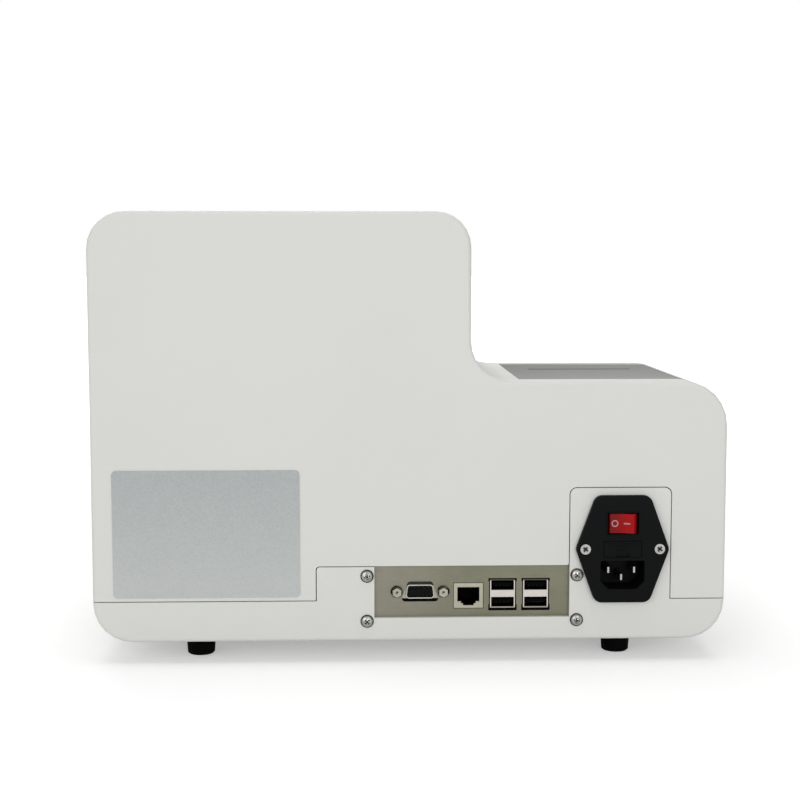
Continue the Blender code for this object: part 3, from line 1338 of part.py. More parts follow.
def make_inlet_pin(name, x, z, finish):
    """A flat contact pin, narrowed at its tip."""
    tip = FLANGE_DEPTH + SOCKET_DEPTH - PIN_REACH
    bm = bmesh.new()
    rings = []
    for depth, inset in ((tip, PIN_TAPER_INSET), (tip + PIN_TAPER_LENGTH, 0), (tip + PIN_LENGTH, 0)):
        half_width = PIN_WIDTH / 2 - inset
        half_height = PIN_HEIGHT / 2 - inset
        corners = [(x - half_width, z - half_height), (x + half_width, z - half_height)]
        corners += [(x + half_width, z + half_height), (x - half_width, z + half_height)]
        rings.append([bm.verts.new(place(across, depth, up)) for across, up in corners])
    for ring, following in zip(rings, rings[1:]):
        for index in range(len(ring)):
            after = (index + 1) % len(ring)
            bm.faces.new((ring[index], ring[after], following[after], following[index]))
    bm.faces.new(rings[0])
    bm.faces.new(rings[-1])
    piece(f"inlet_pin_{name}", mesh_from(bm), finish)


def make_inlet_screw(x, name, finish):
    """A countersunk cross-head screw, flush with the flange."""
    profile = [(0, 0), (COUNTERSUNK_RADIUS, 0), (INLET_SHANK_RADIUS, -COUNTERSUNK_DEPTH)]
    profile += [(INLET_SHANK_RADIUS, -INLET_SCREW_LENGTH), (0, -INLET_SCREW_LENGTH)]
    shape = facing_back(turned(profile, SMALL_SIDES), x, FLANGE_DEPTH, INLET_Z)
    screw = piece(f"inlet_screw_{name}", shape, finish)
    cut(screw, *cross_recess(x, FLANGE_DEPTH, INLET_Z, math.radians(INLET_SCREW_TURN)))


def make_rocker(finish):
    """The rocker with its valley, pressed in on the off side, turning on an upright axle."""
    lean = math.radians(ROCKER_THROW / 2)
    corner = math.radians(ROCKER_REST_ANGLE) + lean
    skirt = math.radians(ROCKER_SKIRT_ANGLE)
    outline = [(0, ROCKER_VALLEY)]
    for step in range(FINE_STEPS + 1):
        angle = corner - (corner + skirt) * step / FINE_STEPS
        outline.append((ROCKER_RADIUS * math.cos(angle), ROCKER_RADIUS * math.sin(angle)))
    mirrored = [(-x, out) for x, out in reversed(outline[1:])]
    mesh = flat_shape([[Vector(point) for point in outline + mirrored]], ROCKER_HEIGHT)
    axis = rocker_axis()
    mesh.transform(Matrix.Translation(axis) @ Matrix.Rotation(-lean, 4, "Z"))
    rocker = piece("power_rocker", mesh, finish, axis)
    half_axle = Vector((0, 0, ROCKER_AXLE_LENGTH / 2))
    join(rocker, rod(ROCKER_AXLE_RADIUS, axis - half_axle, axis + half_axle, TINY_SIDES))


def make_fuse_drawer(finish, fuse_finish):
    """The fuse drawer with its finger tab, and the fuse lying in it."""
    low, high = fuse_drawer_z()
    xs = (INLET_X - FUSE_DRAWER_WIDTH / 2, INLET_X + FUSE_DRAWER_WIDTH / 2)
    depths = (FLANGE_DEPTH, FLANGE_DEPTH + FUSE_DRAWER_DEPTH)
    origin = place(INLET_X, FLANGE_DEPTH, (low + high) / 2)
    drawer = piece("fuse_drawer", box(xs, depths, (low, high)), finish, origin)
    inside = (xs[0] + FUSE_DRAWER_WALL, xs[1] - FUSE_DRAWER_WALL)
    middle = (depths[0] + 2 * FUSE_DRAWER_WALL, depths[1] - FUSE_DRAWER_WALL)
    well = box(inside, middle, (low + FUSE_DRAWER_WALL, high + OVERRUN))
    scoop = box(
        (INLET_X - FUSE_TAB_WIDTH / 2, INLET_X + FUSE_TAB_WIDTH / 2),
        (FLANGE_DEPTH - OVERRUN, FLANGE_DEPTH + FUSE_TAB_DEPTH),
        (low - OVERRUN, low + FUSE_TAB_HEIGHT),
    )
    cut(drawer, well, scoop)
    fuse_z = low + FUSE_DRAWER_WALL + FUSE_RADIUS + GAP
    fuse_depth = sum(middle) / 2
    half = FUSE_LENGTH / 2
    neck = FUSE_RADIUS - FUSE_GLASS_DROP
    cap = half - FUSE_CAP_LENGTH
    profile = [(0, half), (FUSE_RADIUS, half), (FUSE_RADIUS, cap), (neck, cap)]
    profile += [(neck, -cap), (FUSE_RADIUS, -cap), (FUSE_RADIUS, -half), (0, -half)]
    lying = Matrix.Translation(place(INLET_X, fuse_depth, fuse_z)) @ Matrix.Rotation(math.pi / 2, 4, "Y")
    piece("fuse", moved(turned(profile, SMALL_SIDES), lying), fuse_finish)


# The screen

def bracket_outline(width, height):
    """A rounded rectangle with two ears on its upper side and two on its lower side."""
    half_width, half_height = width / 2, height / 2
    half_ear = BRACKET_EAR_WIDTH / 2
    ears = screen_ears()
    reach = max(y for x, y in ears) + BRACKET_EAR_REACH / 2
    xs = sorted({x for x, y in ears})
    corners = [(-half_width, -half_height)]
    radii = [SCREEN_RADIUS]
    for x in xs:
        corners += [(x - half_ear, -half_height), (x - half_ear, -reach)]
        corners += [(x + half_ear, -reach), (x + half_ear, -half_height)]
        radii += [0, BRACKET_THICKNESS, BRACKET_THICKNESS, 0]
    corners.append((half_width, -half_height))
    radii.append(SCREEN_RADIUS)
    corners += [(-x, -y) for x, y in corners]
    return rounded(corners, radii + radii)


def make_screen(glass, metal, sheet):
    """Touch glass in its pocket, the display module behind it, and the bracket that holds both."""
    glass_front = -GLASS_RECESS
    glass_back = glass_front - GLASS_THICKNESS
    pane = slope_slab(SCREEN_WIDTH, SCREEN_HEIGHT, SCREEN_RADIUS - GAP, glass_front, glass_back)
    piece("touch_glass", pane, glass)
    width = SCREEN_WIDTH - 2 * GLASS_LEDGE - 2 * RUNNING_GAP
    height = SCREEN_HEIGHT - 2 * GLASS_LEDGE - 2 * RUNNING_GAP
    module = slope_slab(width, height, SCREEN_RADIUS, glass_back - GAP, lcd_back() + GAP)
    piece("lcd_module", module, metal)
    front = lcd_back()
    back = front - BRACKET_THICKNESS
    half_width = width / 2 - BRACKET_WINDOW_MARGIN
    half_height = height / 2 - BRACKET_WINDOW_MARGIN
    window = oblong((-half_width, half_width), (-half_height, half_height), SCREEN_RADIUS)
    holes = [circle(SCREEN_BOSS_HOLE, ear, TINY_SIDES) for ear in screen_ears()]
    shape = flat_shape([bracket_outline(width, height), window, *holes], BRACKET_THICKNESS)
    shape = moved(shape, slope_frame() @ Matrix.Translation((0, 0, (front + back) / 2)))
    piece("lcd_bracket", shape, sheet)


# The printer

def hinge_ends():
    """The hinge pin's two ends across."""
    half = HINGE_BARREL_LENGTH / 2 + GAP + EAR_WIDTH
    return LID_MIDDLE_X - half, LID_MIDDLE_X + half


def make_printer_lid(finish, steel):
    """The lid over the paper, with its slit, and the hinge barrel rolled under its rear edge."""
    outline = oblong(LID_X, LID_DEPTHS, [0, 0, LID_CORNER_RADIUS, LID_CORNER_RADIUS])
    lid = piece("printer_lid", top_prism(outline, LID_Z), finish, place(LID_MIDDLE_X, HINGE_DEPTH, HINGE_Z))
    hinge_round = circle(HINGE_RADIUS, (HINGE_DEPTH, HINGE_Z), HINGE_SIDES)
    quarter = HINGE_SIDES // 4
    above = LID_Z[1] + OVERRUN
    outside = hinge_round[quarter : 2 * quarter + 1]
    outside += [(LID_REAR - OVERRUN, HINGE_Z), (LID_REAR - OVERRUN, above), (HINGE_DEPTH, above)]
    cut(lid, side_prism(outside, (LID_X[0] - OVERRUN, LID_X[1] + OVERRUN)))
    half = HINGE_BARREL_LENGTH / 2
    notch_depths = (LID_REAR - OVERRUN, HINGE_DEPTH + HINGE_RADIUS + RUNNING_GAP)
    for side in (-1, 1):
        near, far = side * half, side * (half + EAR_WIDTH + GAP + RUNNING_GAP)
        notch_xs = (LID_MIDDLE_X + min(near, far), LID_MIDDLE_X + max(near, far))
        cut(lid, box(notch_xs, notch_depths, (LID_Z[0] - OVERRUN, above)))
    join(lid, side_prism(hinge_round, (LID_MIDDLE_X - half, LID_MIDDLE_X + half)))
    slit = oblong(
        (LID_MIDDLE_X - SLIT_WIDTH / 2, LID_MIDDLE_X + SLIT_WIDTH / 2),
        (SLIT_PLACE - SLIT_DEPTH / 2, SLIT_PLACE + SLIT_DEPTH / 2),
        SLIT_RADIUS,
    )
    cut(lid, top_prism(slit, (LID_Z[0] - OVERRUN, LID_Z[1] + OVERRUN)))
    for side in (-1, 1):
        x = LID_MIDDLE_X + side * (SLIT_WIDTH / 2 + 2 * LID_RIB_WIDTH)
        depths = (ROLL_PLACE - LID_RIB_LENGTH / 2, ROLL_PLACE + LID_RIB_LENGTH / 2)
        zs = (LID_Z[0] - LID_RIB_DROP, LID_Z[0] + SEAT)
        join(lid, box((x - LID_RIB_WIDTH / 2, x + LID_RIB_WIDTH / 2), depths, zs))
    bore_start = place(LID_MIDDLE_X - half - OVERRUN, HINGE_DEPTH, HINGE_Z)
    bore_end = place(LID_MIDDLE_X + half + OVERRUN, HINGE_DEPTH, HINGE_Z)
    cut(lid, rod(HINGE_PIN_RADIUS + HINGE_BORE_GAP, bore_start, bore_end, TINY_SIDES))
    pin_low, pin_high = hinge_ends()
    pin_ends = place(pin_low, HINGE_DEPTH, HINGE_Z), place(pin_high, HINGE_DEPTH, HINGE_Z)
    piece("lid_hinge_pin", rod(HINGE_PIN_RADIUS, *pin_ends, TINY_SIDES), steel)


def bin_x():
    """Outer sides of the paper bin."""
    return LID_X[0] + BIN_SIDE_MARGIN, LID_X[1] - BIN_SIDE_MARGIN


def bin_rim_z():
    """Bottom and top of the bin's rim, just under the lid."""
    top = LID_Z[0] - BIN_RIM_DROP
    return top - BIN_RIM_THICKNESS, top


def platen_centre():
    """Depth and height of the platen roller's axis."""
    return PLATEN_PLACE, LID_Z[0] - PLATEN_DROP + LID_THICKNESS


def roll_centre():
    """Depth and height of the paper roll's axis."""
    return ROLL_PLACE, ROLL_BOTTOM_Z + ROLL_RADIUS


def pinion_centre():
    """Depth and height of the motor pinion's axis, in mesh with the platen's gear."""
    depth, z = platen_centre()
    distance = GEAR_MODULE * (PLATEN_TEETH + PINION_TEETH) / 2
    angle = math.radians(PINION_ANGLE)
    return depth + distance * math.cos(angle), z + distance * math.sin(angle)


def make_paper_bin(finish):
    """The bin that the paper lies in, with the hinge ears and the bearings of the printer's shafts."""
    low, high = bin_x()
    bottom = BASE_Z + BIN_BOTTOM
    rim_low, rim_high = bin_rim_z()
    depths = (BIN_REAR, BIN_REAR + BIN_LENGTH)
    holder = piece("paper_bin", box((low, high), depths, (bottom, rim_high)), finish)
    rim = box((low - BIN_RIM, high + BIN_RIM), (depths[0], depths[1] + BIN_RIM), (rim_low, rim_high))
    join(holder, rim)
    pin_low, pin_high = hinge_ends()
    for start in (pin_low, pin_high - EAR_WIDTH):
        ear_xs = (start, start + EAR_WIDTH)
        join(holder, box(ear_xs, (LID_REAR, BIN_REAR + BIN_WALL / 2), (HINGE_Z - EAR_DROP, HINGE_Z)))
        join(holder, side_prism(circle(HINGE_RADIUS, (HINGE_DEPTH, HINGE_Z), HINGE_SIDES), ear_xs))
    inside = (low + BIN_WALL, high - BIN_WALL)
    room = box(inside, (depths[0] + BIN_WALL, depths[1] - BIN_WALL), (bottom + BIN_WALL, rim_high + OVERRUN))
    cut(holder, room)
    through = (low - BIN_RIM - OVERRUN, high + BIN_RIM + OVERRUN)
    bores = ((platen_centre(), PLATEN_SHAFT_RADIUS), (roll_centre(), SPINDLE_END_RADIUS))
    for (depth, z), radius in bores:
        ends = place(through[0], depth, z), place(through[1], depth, z)
        cut(holder, rod(radius + BEARING_GAP, *ends, TINY_SIDES))
    pin_bore = rod(
        HINGE_PIN_RADIUS + HINGE_BORE_GAP,
        place(through[0], HINGE_DEPTH, HINGE_Z),
        place(through[1], HINGE_DEPTH, HINGE_Z),
        TINY_SIDES,
    )
    cut(holder, pin_bore)
    motor_bracket(holder)
    return holder


def gear_x():
    """The two faces of the platen's gear, outside the bin's high wall."""
    low = bin_x()[1] + RUNNING_GAP
    return low, low + GEAR_WIDTH


def motor_face_x():
    """Where the printer motor's face lies, beyond the gears."""
    return gear_x()[1] + RUNNING_GAP + MOTOR_BOSS_LENGTH + BIN_WALL + 2 * GAP


def motor_bracket(holder):
    """The bracket on the bin's wall that holds the printer's motor beyond its pinion."""
    depth, z = pinion_centre()
    radius = PRINTER_MOTOR_RADIUS + BIN_WALL
    face = motor_face_x() - GAP
    wall = bin_x()[1]
    plate_top = z + PRINTER_MOTOR_RADIUS / 2
    plate_bottom = z - radius - BIN_WALL
    depths = (depth - radius, depth + radius)
    join(
        holder,
        box((face - BIN_WALL, face), depths, (plate_bottom, plate_top)),
        box((wall - SEAT, face), depths, (plate_bottom, plate_bottom + BIN_WALL)),
    )
    boss_ends = place(face - BIN_WALL - GAP, depth, z), place(face + GAP, depth, z)
    cut(holder, rod(MOTOR_BOSS_RADIUS + GAP, *boss_ends, SMALL_SIDES))


def gear_outline(teeth, centre, turn, bore):
    """A spur gear's outline: four points a tooth, thinned by the backlash."""
    pitch_radius = GEAR_MODULE * teeth / 2
    tip_radius = pitch_radius + GEAR_MODULE * GEAR_TIP_SHARE
    root_radius = pitch_radius - GEAR_MODULE * GEAR_ROOT_SHARE
    pitch_angle = 2 * math.pi / teeth
    thin = GEAR_BACKLASH / pitch_radius
    root_half = pitch_angle * GEAR_ROOT_WIDTH_SHARE / 2 - thin
    tip_half = pitch_angle * GEAR_TIP_WIDTH_SHARE / 2 - thin / 2
    tooth_points = ((root_radius, -root_half), (tip_radius, -tip_half))
    tooth_points += ((tip_radius, tip_half), (root_radius, root_half))
    points = []
    for tooth in range(teeth):
        for radius, offset in tooth_points:
            angle = turn + pitch_angle * tooth + offset
            spoke = Vector((radius * math.cos(angle), radius * math.sin(angle)))
            points.append(Vector(centre) + spoke)
    return [points, circle(bore, centre, TINY_SIDES)] if bore else [points]


def make_printer_works(rubber, steel, plastic, dark, paper, spindle_finish):
    """Platen roller with its gear, thermal head, motor with its pinion, and the paper roll on its spindle."""
    depth, z = platen_centre()
    wall_low, wall_high = bin_x()
    middle = (wall_low + wall_high) / 2
    gear_low, gear_high = gear_x()
    axis_origin = place(middle, depth, z)
    roller_ends = place(middle - PLATEN_LENGTH / 2, depth, z), place(middle + PLATEN_LENGTH / 2, depth, z)
    roller = piece("platen_roller", rod(PLATEN_RADIUS, *roller_ends, ROUND_SIDES), rubber, axis_origin)
    shaft_ends = place(wall_low + GAP, depth, z), place(gear_high + RUNNING_GAP, depth, z)
    join(roller, rod(PLATEN_SHAFT_RADIUS, *shaft_ends, TINY_SIDES))
    angle = math.radians(PINION_ANGLE)
    platen_gear = gear_outline(PLATEN_TEETH, (depth, z), angle, 0)
    join(roller, side_prism(platen_gear[0], (gear_low, gear_high)))

    pinion_depth, pinion_z = pinion_centre()
    pinion_turn = angle + math.pi + math.pi / PINION_TEETH
    shaft_bore = MOTOR_SHAFT_RADIUS + GAP
    outline, bore = gear_outline(PINION_TEETH, (pinion_depth, pinion_z), pinion_turn, shaft_bore)
    pinion_mesh = side_prism(outline, (gear_low, gear_high), [bore])
    piece("motor_pinion", pinion_mesh, plastic, place((gear_low + gear_high) / 2, pinion_depth, pinion_z))

    face = motor_face_x()
    can_ends = place(face, pinion_depth, pinion_z), place(face + PRINTER_MOTOR_LENGTH, pinion_depth, pinion_z)
    motor = piece("printer_motor", rod(PRINTER_MOTOR_RADIUS, *can_ends, ROUND_SIDES), steel)
    root = place(face + SEAT, pinion_depth, pinion_z)
    boss_ends = place(face - MOTOR_BOSS_LENGTH, pinion_depth, pinion_z), root
    shaft = place(gear_low, pinion_depth, pinion_z), root
    join(motor, rod(MOTOR_BOSS_RADIUS, *boss_ends, SMALL_SIDES), rod(MOTOR_SHAFT_RADIUS, *shaft, TINY_SIDES))

    head_depth = depth + PLATEN_RADIUS + GAP
    head_xs = (middle - HEAD_PLATE_WIDTH / 2, middle + HEAD_PLATE_WIDTH / 2)
    head_depths = (head_depth, head_depth + HEAD_PLATE_THICKNESS)
    head_zs = (z - HEAD_PLATE_HEIGHT / 2, z + HEAD_PLATE_HEIGHT / 2 - PLATEN_RADIUS / 2)
    head = piece("thermal_head", box(head_xs, head_depths, head_zs), dark)
    arm_xs = (wall_low + BIN_WALL + GAP, wall_high - BIN_WALL - GAP)
    join(head, box(arm_xs, head_depths, (head_zs[0], head_zs[0] + HEAD_LINE_WIDTH)))

    roll_depth, roll_z = roll_centre()
    roll_low, roll_high = middle - ROLL_WIDTH / 2, middle + ROLL_WIDTH / 2
    roll_ends = place(roll_low, roll_depth, roll_z), place(roll_high, roll_depth, roll_z)
    wound = rod(ROLL_RADIUS, *roll_ends, ROUND_SIDES)
    roll = piece("paper_roll", wound, paper, place(middle, roll_depth, roll_z))
    core_ends = place(roll_low - OVERRUN, roll_depth, roll_z), place(roll_high + OVERRUN, roll_depth, roll_z)
    cut(roll, rod(ROLL_CORE_RADIUS, *core_ends, SMALL_SIDES))
    spindle_low, spindle_high = wall_low + BIN_WALL + RUNNING_GAP, wall_high - BIN_WALL - RUNNING_GAP
    body_ends = place(spindle_low, roll_depth, roll_z), place(spindle_high, roll_depth, roll_z)
    end_ends = place(wall_low, roll_depth, roll_z), place(wall_high, roll_depth, roll_z)
    spindle = piece("roll_spindle", rod(SPINDLE_RADIUS, *body_ends, SMALL_SIDES), spindle_finish)
    join(spindle, rod(SPINDLE_END_RADIUS, *end_ends, TINY_SIDES))


# The strip transport

def pulley_places():
    """Places across of the motor pulley and the idler."""
    return LOW_X + MOTOR_PULLEY_INSET, STEP_X + IDLER_REACH


def rod_depths():
    """Depths of the two carriage rods, either side of the belt."""
    return BELT_PLACE - ROD_SPREAD, BELT_PLACE + ROD_SPREAD


def rod_z():
    """Height of the carriage rods, clear under the motor's shaft."""
    return DRIVE_Z - ROD_DROP


def end_plate_xs():
    """The two chassis plates that hold the carriage rods."""
    far = pulley_places()[1] + PULLEY_RADIUS + PULLEY_FLANGE_RISE + OVERRUN
    return (CHASSIS_X[0], CHASSIS_X[0] + CHASSIS_THICKNESS), (far, far + CHASSIS_THICKNESS)


def head_x():
    """Middle of the read head, across."""
    return STEP_X + HEAD_OFFSET


def head_rail_z():
    """Height of the read head's rod and lead screw."""
    return RIB_TOP_Z + HEAD_ABOVE_RIBS + HEAD_HEIGHT * HEAD_RAIL_SHARE


def make_chassis(finish):
    """The folded sheet that carries the tray, the rods, the motors and the read head."""
    chassis = piece("transport_chassis", box(CHASSIS_X, CHASSIS_DEPTHS, CHASSIS_Z), finish)
    rise = (CHASSIS_Z[0] + SEAT, DRIVE_Z + PULLEY_RADIUS)
    plate_depths = (BELT_PLACE - ROD_SPREAD - 2 * ROD_RADIUS, BELT_PLACE + ROD_SPREAD + 2 * ROD_RADIUS)
    for xs in end_plate_xs():
        join(chassis, box(xs, plate_depths, rise))
    motor_x, idler_x = pulley_places()
    motor_plate_xs = (CHASSIS_X[0] + SEAT, motor_x + MOTOR_PLATE_REACH)
    motor_plate = (CHASSIS_DEPTHS[0], CHASSIS_DEPTHS[0] + CHASSIS_THICKNESS)
    join(chassis, box(motor_plate_xs, motor_plate, (rise[0], DRIVE_Z + DRIVE_MOTOR_RADIUS)))
    idler_xs = (idler_x - PULLEY_RADIUS, idler_x + PULLEY_RADIUS)
    join(chassis, box(idler_xs, motor_plate, (rise[0], DRIVE_Z + PULLEY_RADIUS)))
    idler_end = BELT_PLACE + PULLEY_WIDTH / 2
    pin_ends = place(idler_x, CHASSIS_DEPTHS[0] + SEAT, DRIVE_Z), place(idler_x, idler_end, DRIVE_Z)
    join(chassis, rod(IDLER_PIN_RADIUS, *pin_ends, TINY_SIDES))
    rail_z = head_rail_z()
    middle = head_x()
    reach = HEAD_ROD_SPREAD + 2 * HEAD_ROD_RADIUS + CHASSIS_THICKNESS
    for above, depths in zip((HEAD_MOTOR_RADIUS, 2 * HEAD_ROD_RADIUS), head_plate_depths()):
        join(chassis, box((middle - reach, middle + reach), depths, (rise[0], rail_z + above)))
    across = (CHASSIS_X[0] - OVERRUN, end_plate_xs()[1][1] + OVERRUN)
    for depth in rod_depths():
        ends = place(across[0], depth, rod_z()), place(across[1], depth, rod_z())
        cut(chassis, rod(ROD_RADIUS + ROD_GAP, *ends, TINY_SIDES))
    shaft_hole = DRIVE_SHAFT_RADIUS + RUNNING_GAP
    hole_depths = motor_plate[0] - OVERRUN, motor_plate[1] + OVERRUN
    hole_ends = [place(motor_x, depth, DRIVE_Z) for depth in hole_depths]
    cut(chassis, rod(shaft_hole, *hole_ends, TINY_SIDES))
    (rear_low, rear_high), (front_low, front_high) = head_plate_depths()
    for shift, radius in ((-HEAD_ROD_SPREAD, LEAD_SCREW_RADIUS), (HEAD_ROD_SPREAD, HEAD_ROD_RADIUS)):
        x = middle + shift
        ends = place(x, rear_low - OVERRUN, rail_z), place(x, front_high + OVERRUN, rail_z)
        cut(chassis, rod(radius + ROD_GAP, *ends, TINY_SIDES))
    for x, depth in post_places():
        ends = place(x, depth, CHASSIS_Z[0] - OVERRUN), place(x, depth, CHASSIS_Z[1] + OVERRUN)
        cut(chassis, rod(POST_HOLE_RADIUS, *ends, TINY_SIDES))
    return chassis


def head_plate_depths():
    """Depths of the two chassis uprights that hold the read head's rod and screw."""
    rear = TRAY_REAR - RUNNING_GAP - CHASSIS_THICKNESS
    front = TRAY_REAR + TRAY_DEPTH + RUNNING_GAP
    return (rear, rear + CHASSIS_THICKNESS), (front, front + CHASSIS_THICKNESS)


def arm_z():
    """Bottom and top of the push bar's arm."""
    bottom = RIB_TOP_Z + BAR_ABOVE_RIBS + ARM_SLOT_RISE
    return bottom, bottom + ARM_HEIGHT


def make_strip_tray(finish):
    """The ribbed tray that the strips travel on, open at its far end over the waste drawer."""
    depths = (TRAY_REAR, TRAY_REAR + TRAY_DEPTH)
    low_top = DECK_Z - TRAY_BELOW_DECK
    tray = piece("strip_tray", box(TRAY_X, depths, (TRAY_BOTTOM_Z, low_top)), finish)
    floor_top = TRAY_BOTTOM_Z + TRAY_FLOOR
    inner_depths = (depths[0] + TRAY_WALL, depths[1] - TRAY_WALL)
    room = box((TRAY_X[0] + TRAY_WALL, TRAY_X[1] + OVERRUN), inner_depths, (floor_top, low_top + OVERRUN))
    tunnel_xs = (STEP_X - STEP_FILLET, TRAY_X[1] + OVERRUN)
    tunnel_depths = (depths[0] - OVERRUN, depths[1] + OVERRUN)
    tunnel_zs = (TRAY_BOTTOM_Z + TUNNEL_WALL_HEIGHT, low_top + OVERRUN)
    cut(tray, room, box(tunnel_xs, tunnel_depths, tunnel_zs))
    pitch = (inner_depths[1] - inner_depths[0]) / (TRAY_RIBS + 1)
    for rib in range(1, TRAY_RIBS + 1):
        middle = inner_depths[0] + pitch * rib
        rib_depths = (middle - TRAY_RIB_WIDTH / 2, middle + TRAY_RIB_WIDTH / 2)
        join(tray, box((TRAY_X[0] + TRAY_WALL / 2, TRAY_X[1]), rib_depths, (floor_top - SEAT, RIB_TOP_Z)))
    slot_low, slot_high = arm_z()
    start = carriage_x() - CARRIAGE_LENGTH
    slot_xs = (start - 2 * RUNNING_GAP, start + ARM_WIDTH + carriage_travel() + 2 * RUNNING_GAP)
    slot_depths = (depths[0] - OVERRUN, depths[0] + TRAY_WALL + OVERRUN)
    cut(tray, box(slot_xs, slot_depths, (slot_low - RUNNING_GAP, slot_high + RUNNING_GAP)))
    return tray


def carriage_x():
    """Middle of the carriage at rest, across."""
    return pulley_places()[0] + CARRIAGE_START


def carriage_travel():
    """How far the carriage runs before it would reach the idler."""
    idler_side = pulley_places()[1] - PULLEY_RADIUS - PULLEY_FLANGE_RISE
    return idler_side - CARRIAGE_END_GAP - CARRIAGE_LENGTH / 2 - carriage_x()


def make_push_bar(finish):
    """The bar that pushes strips along, its arm, and the carriage that clamps the belt."""
    middle = carriage_x()
    xs = (middle - CARRIAGE_LENGTH / 2, middle + CARRIAGE_LENGTH / 2)
    depths = (BELT_PLACE - CARRIAGE_WIDTH / 2, BELT_PLACE + CARRIAGE_WIDTH / 2)
    zs = (rod_z() - CARRIAGE_BELOW_ROD, rod_z() - CARRIAGE_BELOW_ROD + CARRIAGE_HEIGHT)
    bar = piece("push_bar", box(xs, depths, zs), finish, place(middle, BELT_PLACE, DRIVE_Z))
    arm_low, arm_high = arm_z()
    arm_xs = (xs[0] - CARRIAGE_LENGTH / 2, xs[0] - CARRIAGE_LENGTH / 2 + ARM_WIDTH)
    bar_middle = sum(arm_xs) / 2
    tray_inside = (TRAY_REAR + TRAY_WALL + BAR_END_GAP, TRAY_REAR + TRAY_DEPTH - TRAY_WALL - BAR_END_GAP)
    inner, outer, far = depths[1] - ROD_RADIUS, depths[1] + ROD_RADIUS, tray_inside[0] + BAR_WIDTH
    arm_outline = [(arm_xs[0], inner), (xs[1], inner), (xs[1], outer)]
    arm_outline += [(arm_xs[1], outer), (arm_xs[1], far), (arm_xs[0], far)]
    join(bar, top_prism(arm_outline, (arm_low, arm_high)))
    foot_z = RIB_TOP_Z + BAR_ABOVE_RIBS
    half, top = BAR_WIDTH / 2, foot_z + BAR_HEIGHT
    corners = [(bar_middle - half, foot_z), (bar_middle + half, foot_z)]
    corners += [(bar_middle + half - BAR_SLANT, top), (bar_middle - half + BAR_SLANT, top)]
    join(bar, back_prism(rounded(corners, [0, 0, BAR_SLANT, BAR_SLANT]), tray_inside))
    clamp_z = DRIVE_Z + PULLEY_RADIUS + GAP
    clamp_xs = (middle - CLAMP_LENGTH / 2, middle + CLAMP_LENGTH / 2)
    clamp_depths = (BELT_PLACE - BELT_WIDTH, BELT_PLACE + BELT_WIDTH)
    join(bar, box(clamp_xs, clamp_depths, (zs[1] - SEAT, clamp_z + BELT_THICKNESS + CLAMP_HEIGHT / 2)))
    slot_depths = (BELT_PLACE - BELT_WIDTH / 2 - GAP, BELT_PLACE + BELT_WIDTH / 2 + GAP)
    slot_xs = (xs[0] - OVERRUN, xs[1] + OVERRUN)
    cut(bar, box(slot_xs, slot_depths, (clamp_z - GAP, clamp_z + BELT_THICKNESS + GAP)))
    for depth in rod_depths():
        ends = place(arm_xs[0] - OVERRUN, depth, rod_z()), place(xs[1] + OVERRUN, depth, rod_z())
        cut(bar, rod(ROD_RADIUS + ROD_GAP, *ends, TINY_SIDES))
    return bar


def make_pulley(name, x, bore, finish):
    """A toothed pulley with a flange on each side."""
    points = []
    for tooth in range(PULLEY_TEETH):
        for share, radius in PULLEY_TOOTH_SHARES:
            angle = 2 * math.pi * (tooth + share) / PULLEY_TEETH
            reach = PULLEY_RADIUS - radius * PULLEY_TOOTH_DEPTH
            points.append(Vector((x + reach * math.cos(angle), DRIVE_Z + reach * math.sin(angle))))
    half = PULLEY_WIDTH / 2
    origin = place(x, BELT_PLACE, DRIVE_Z)
    pulley = piece(name, back_prism(points, (BELT_PLACE - half, BELT_PLACE + half)), finish, origin)
    rim = PULLEY_RADIUS + PULLEY_FLANGE_RISE
    for start in (BELT_PLACE - half, BELT_PLACE + half - PULLEY_FLANGE):
        flange_ends = place(x, start, DRIVE_Z), place(x, start + PULLEY_FLANGE, DRIVE_Z)
        join(pulley, rod(rim, *flange_ends, SMALL_SIDES))
    ends = place(x, BELT_PLACE - half - OVERRUN, DRIVE_Z), place(x, BELT_PLACE + half + OVERRUN, DRIVE_Z)
    cut(pulley, rod(bore, *ends, TINY_SIDES))


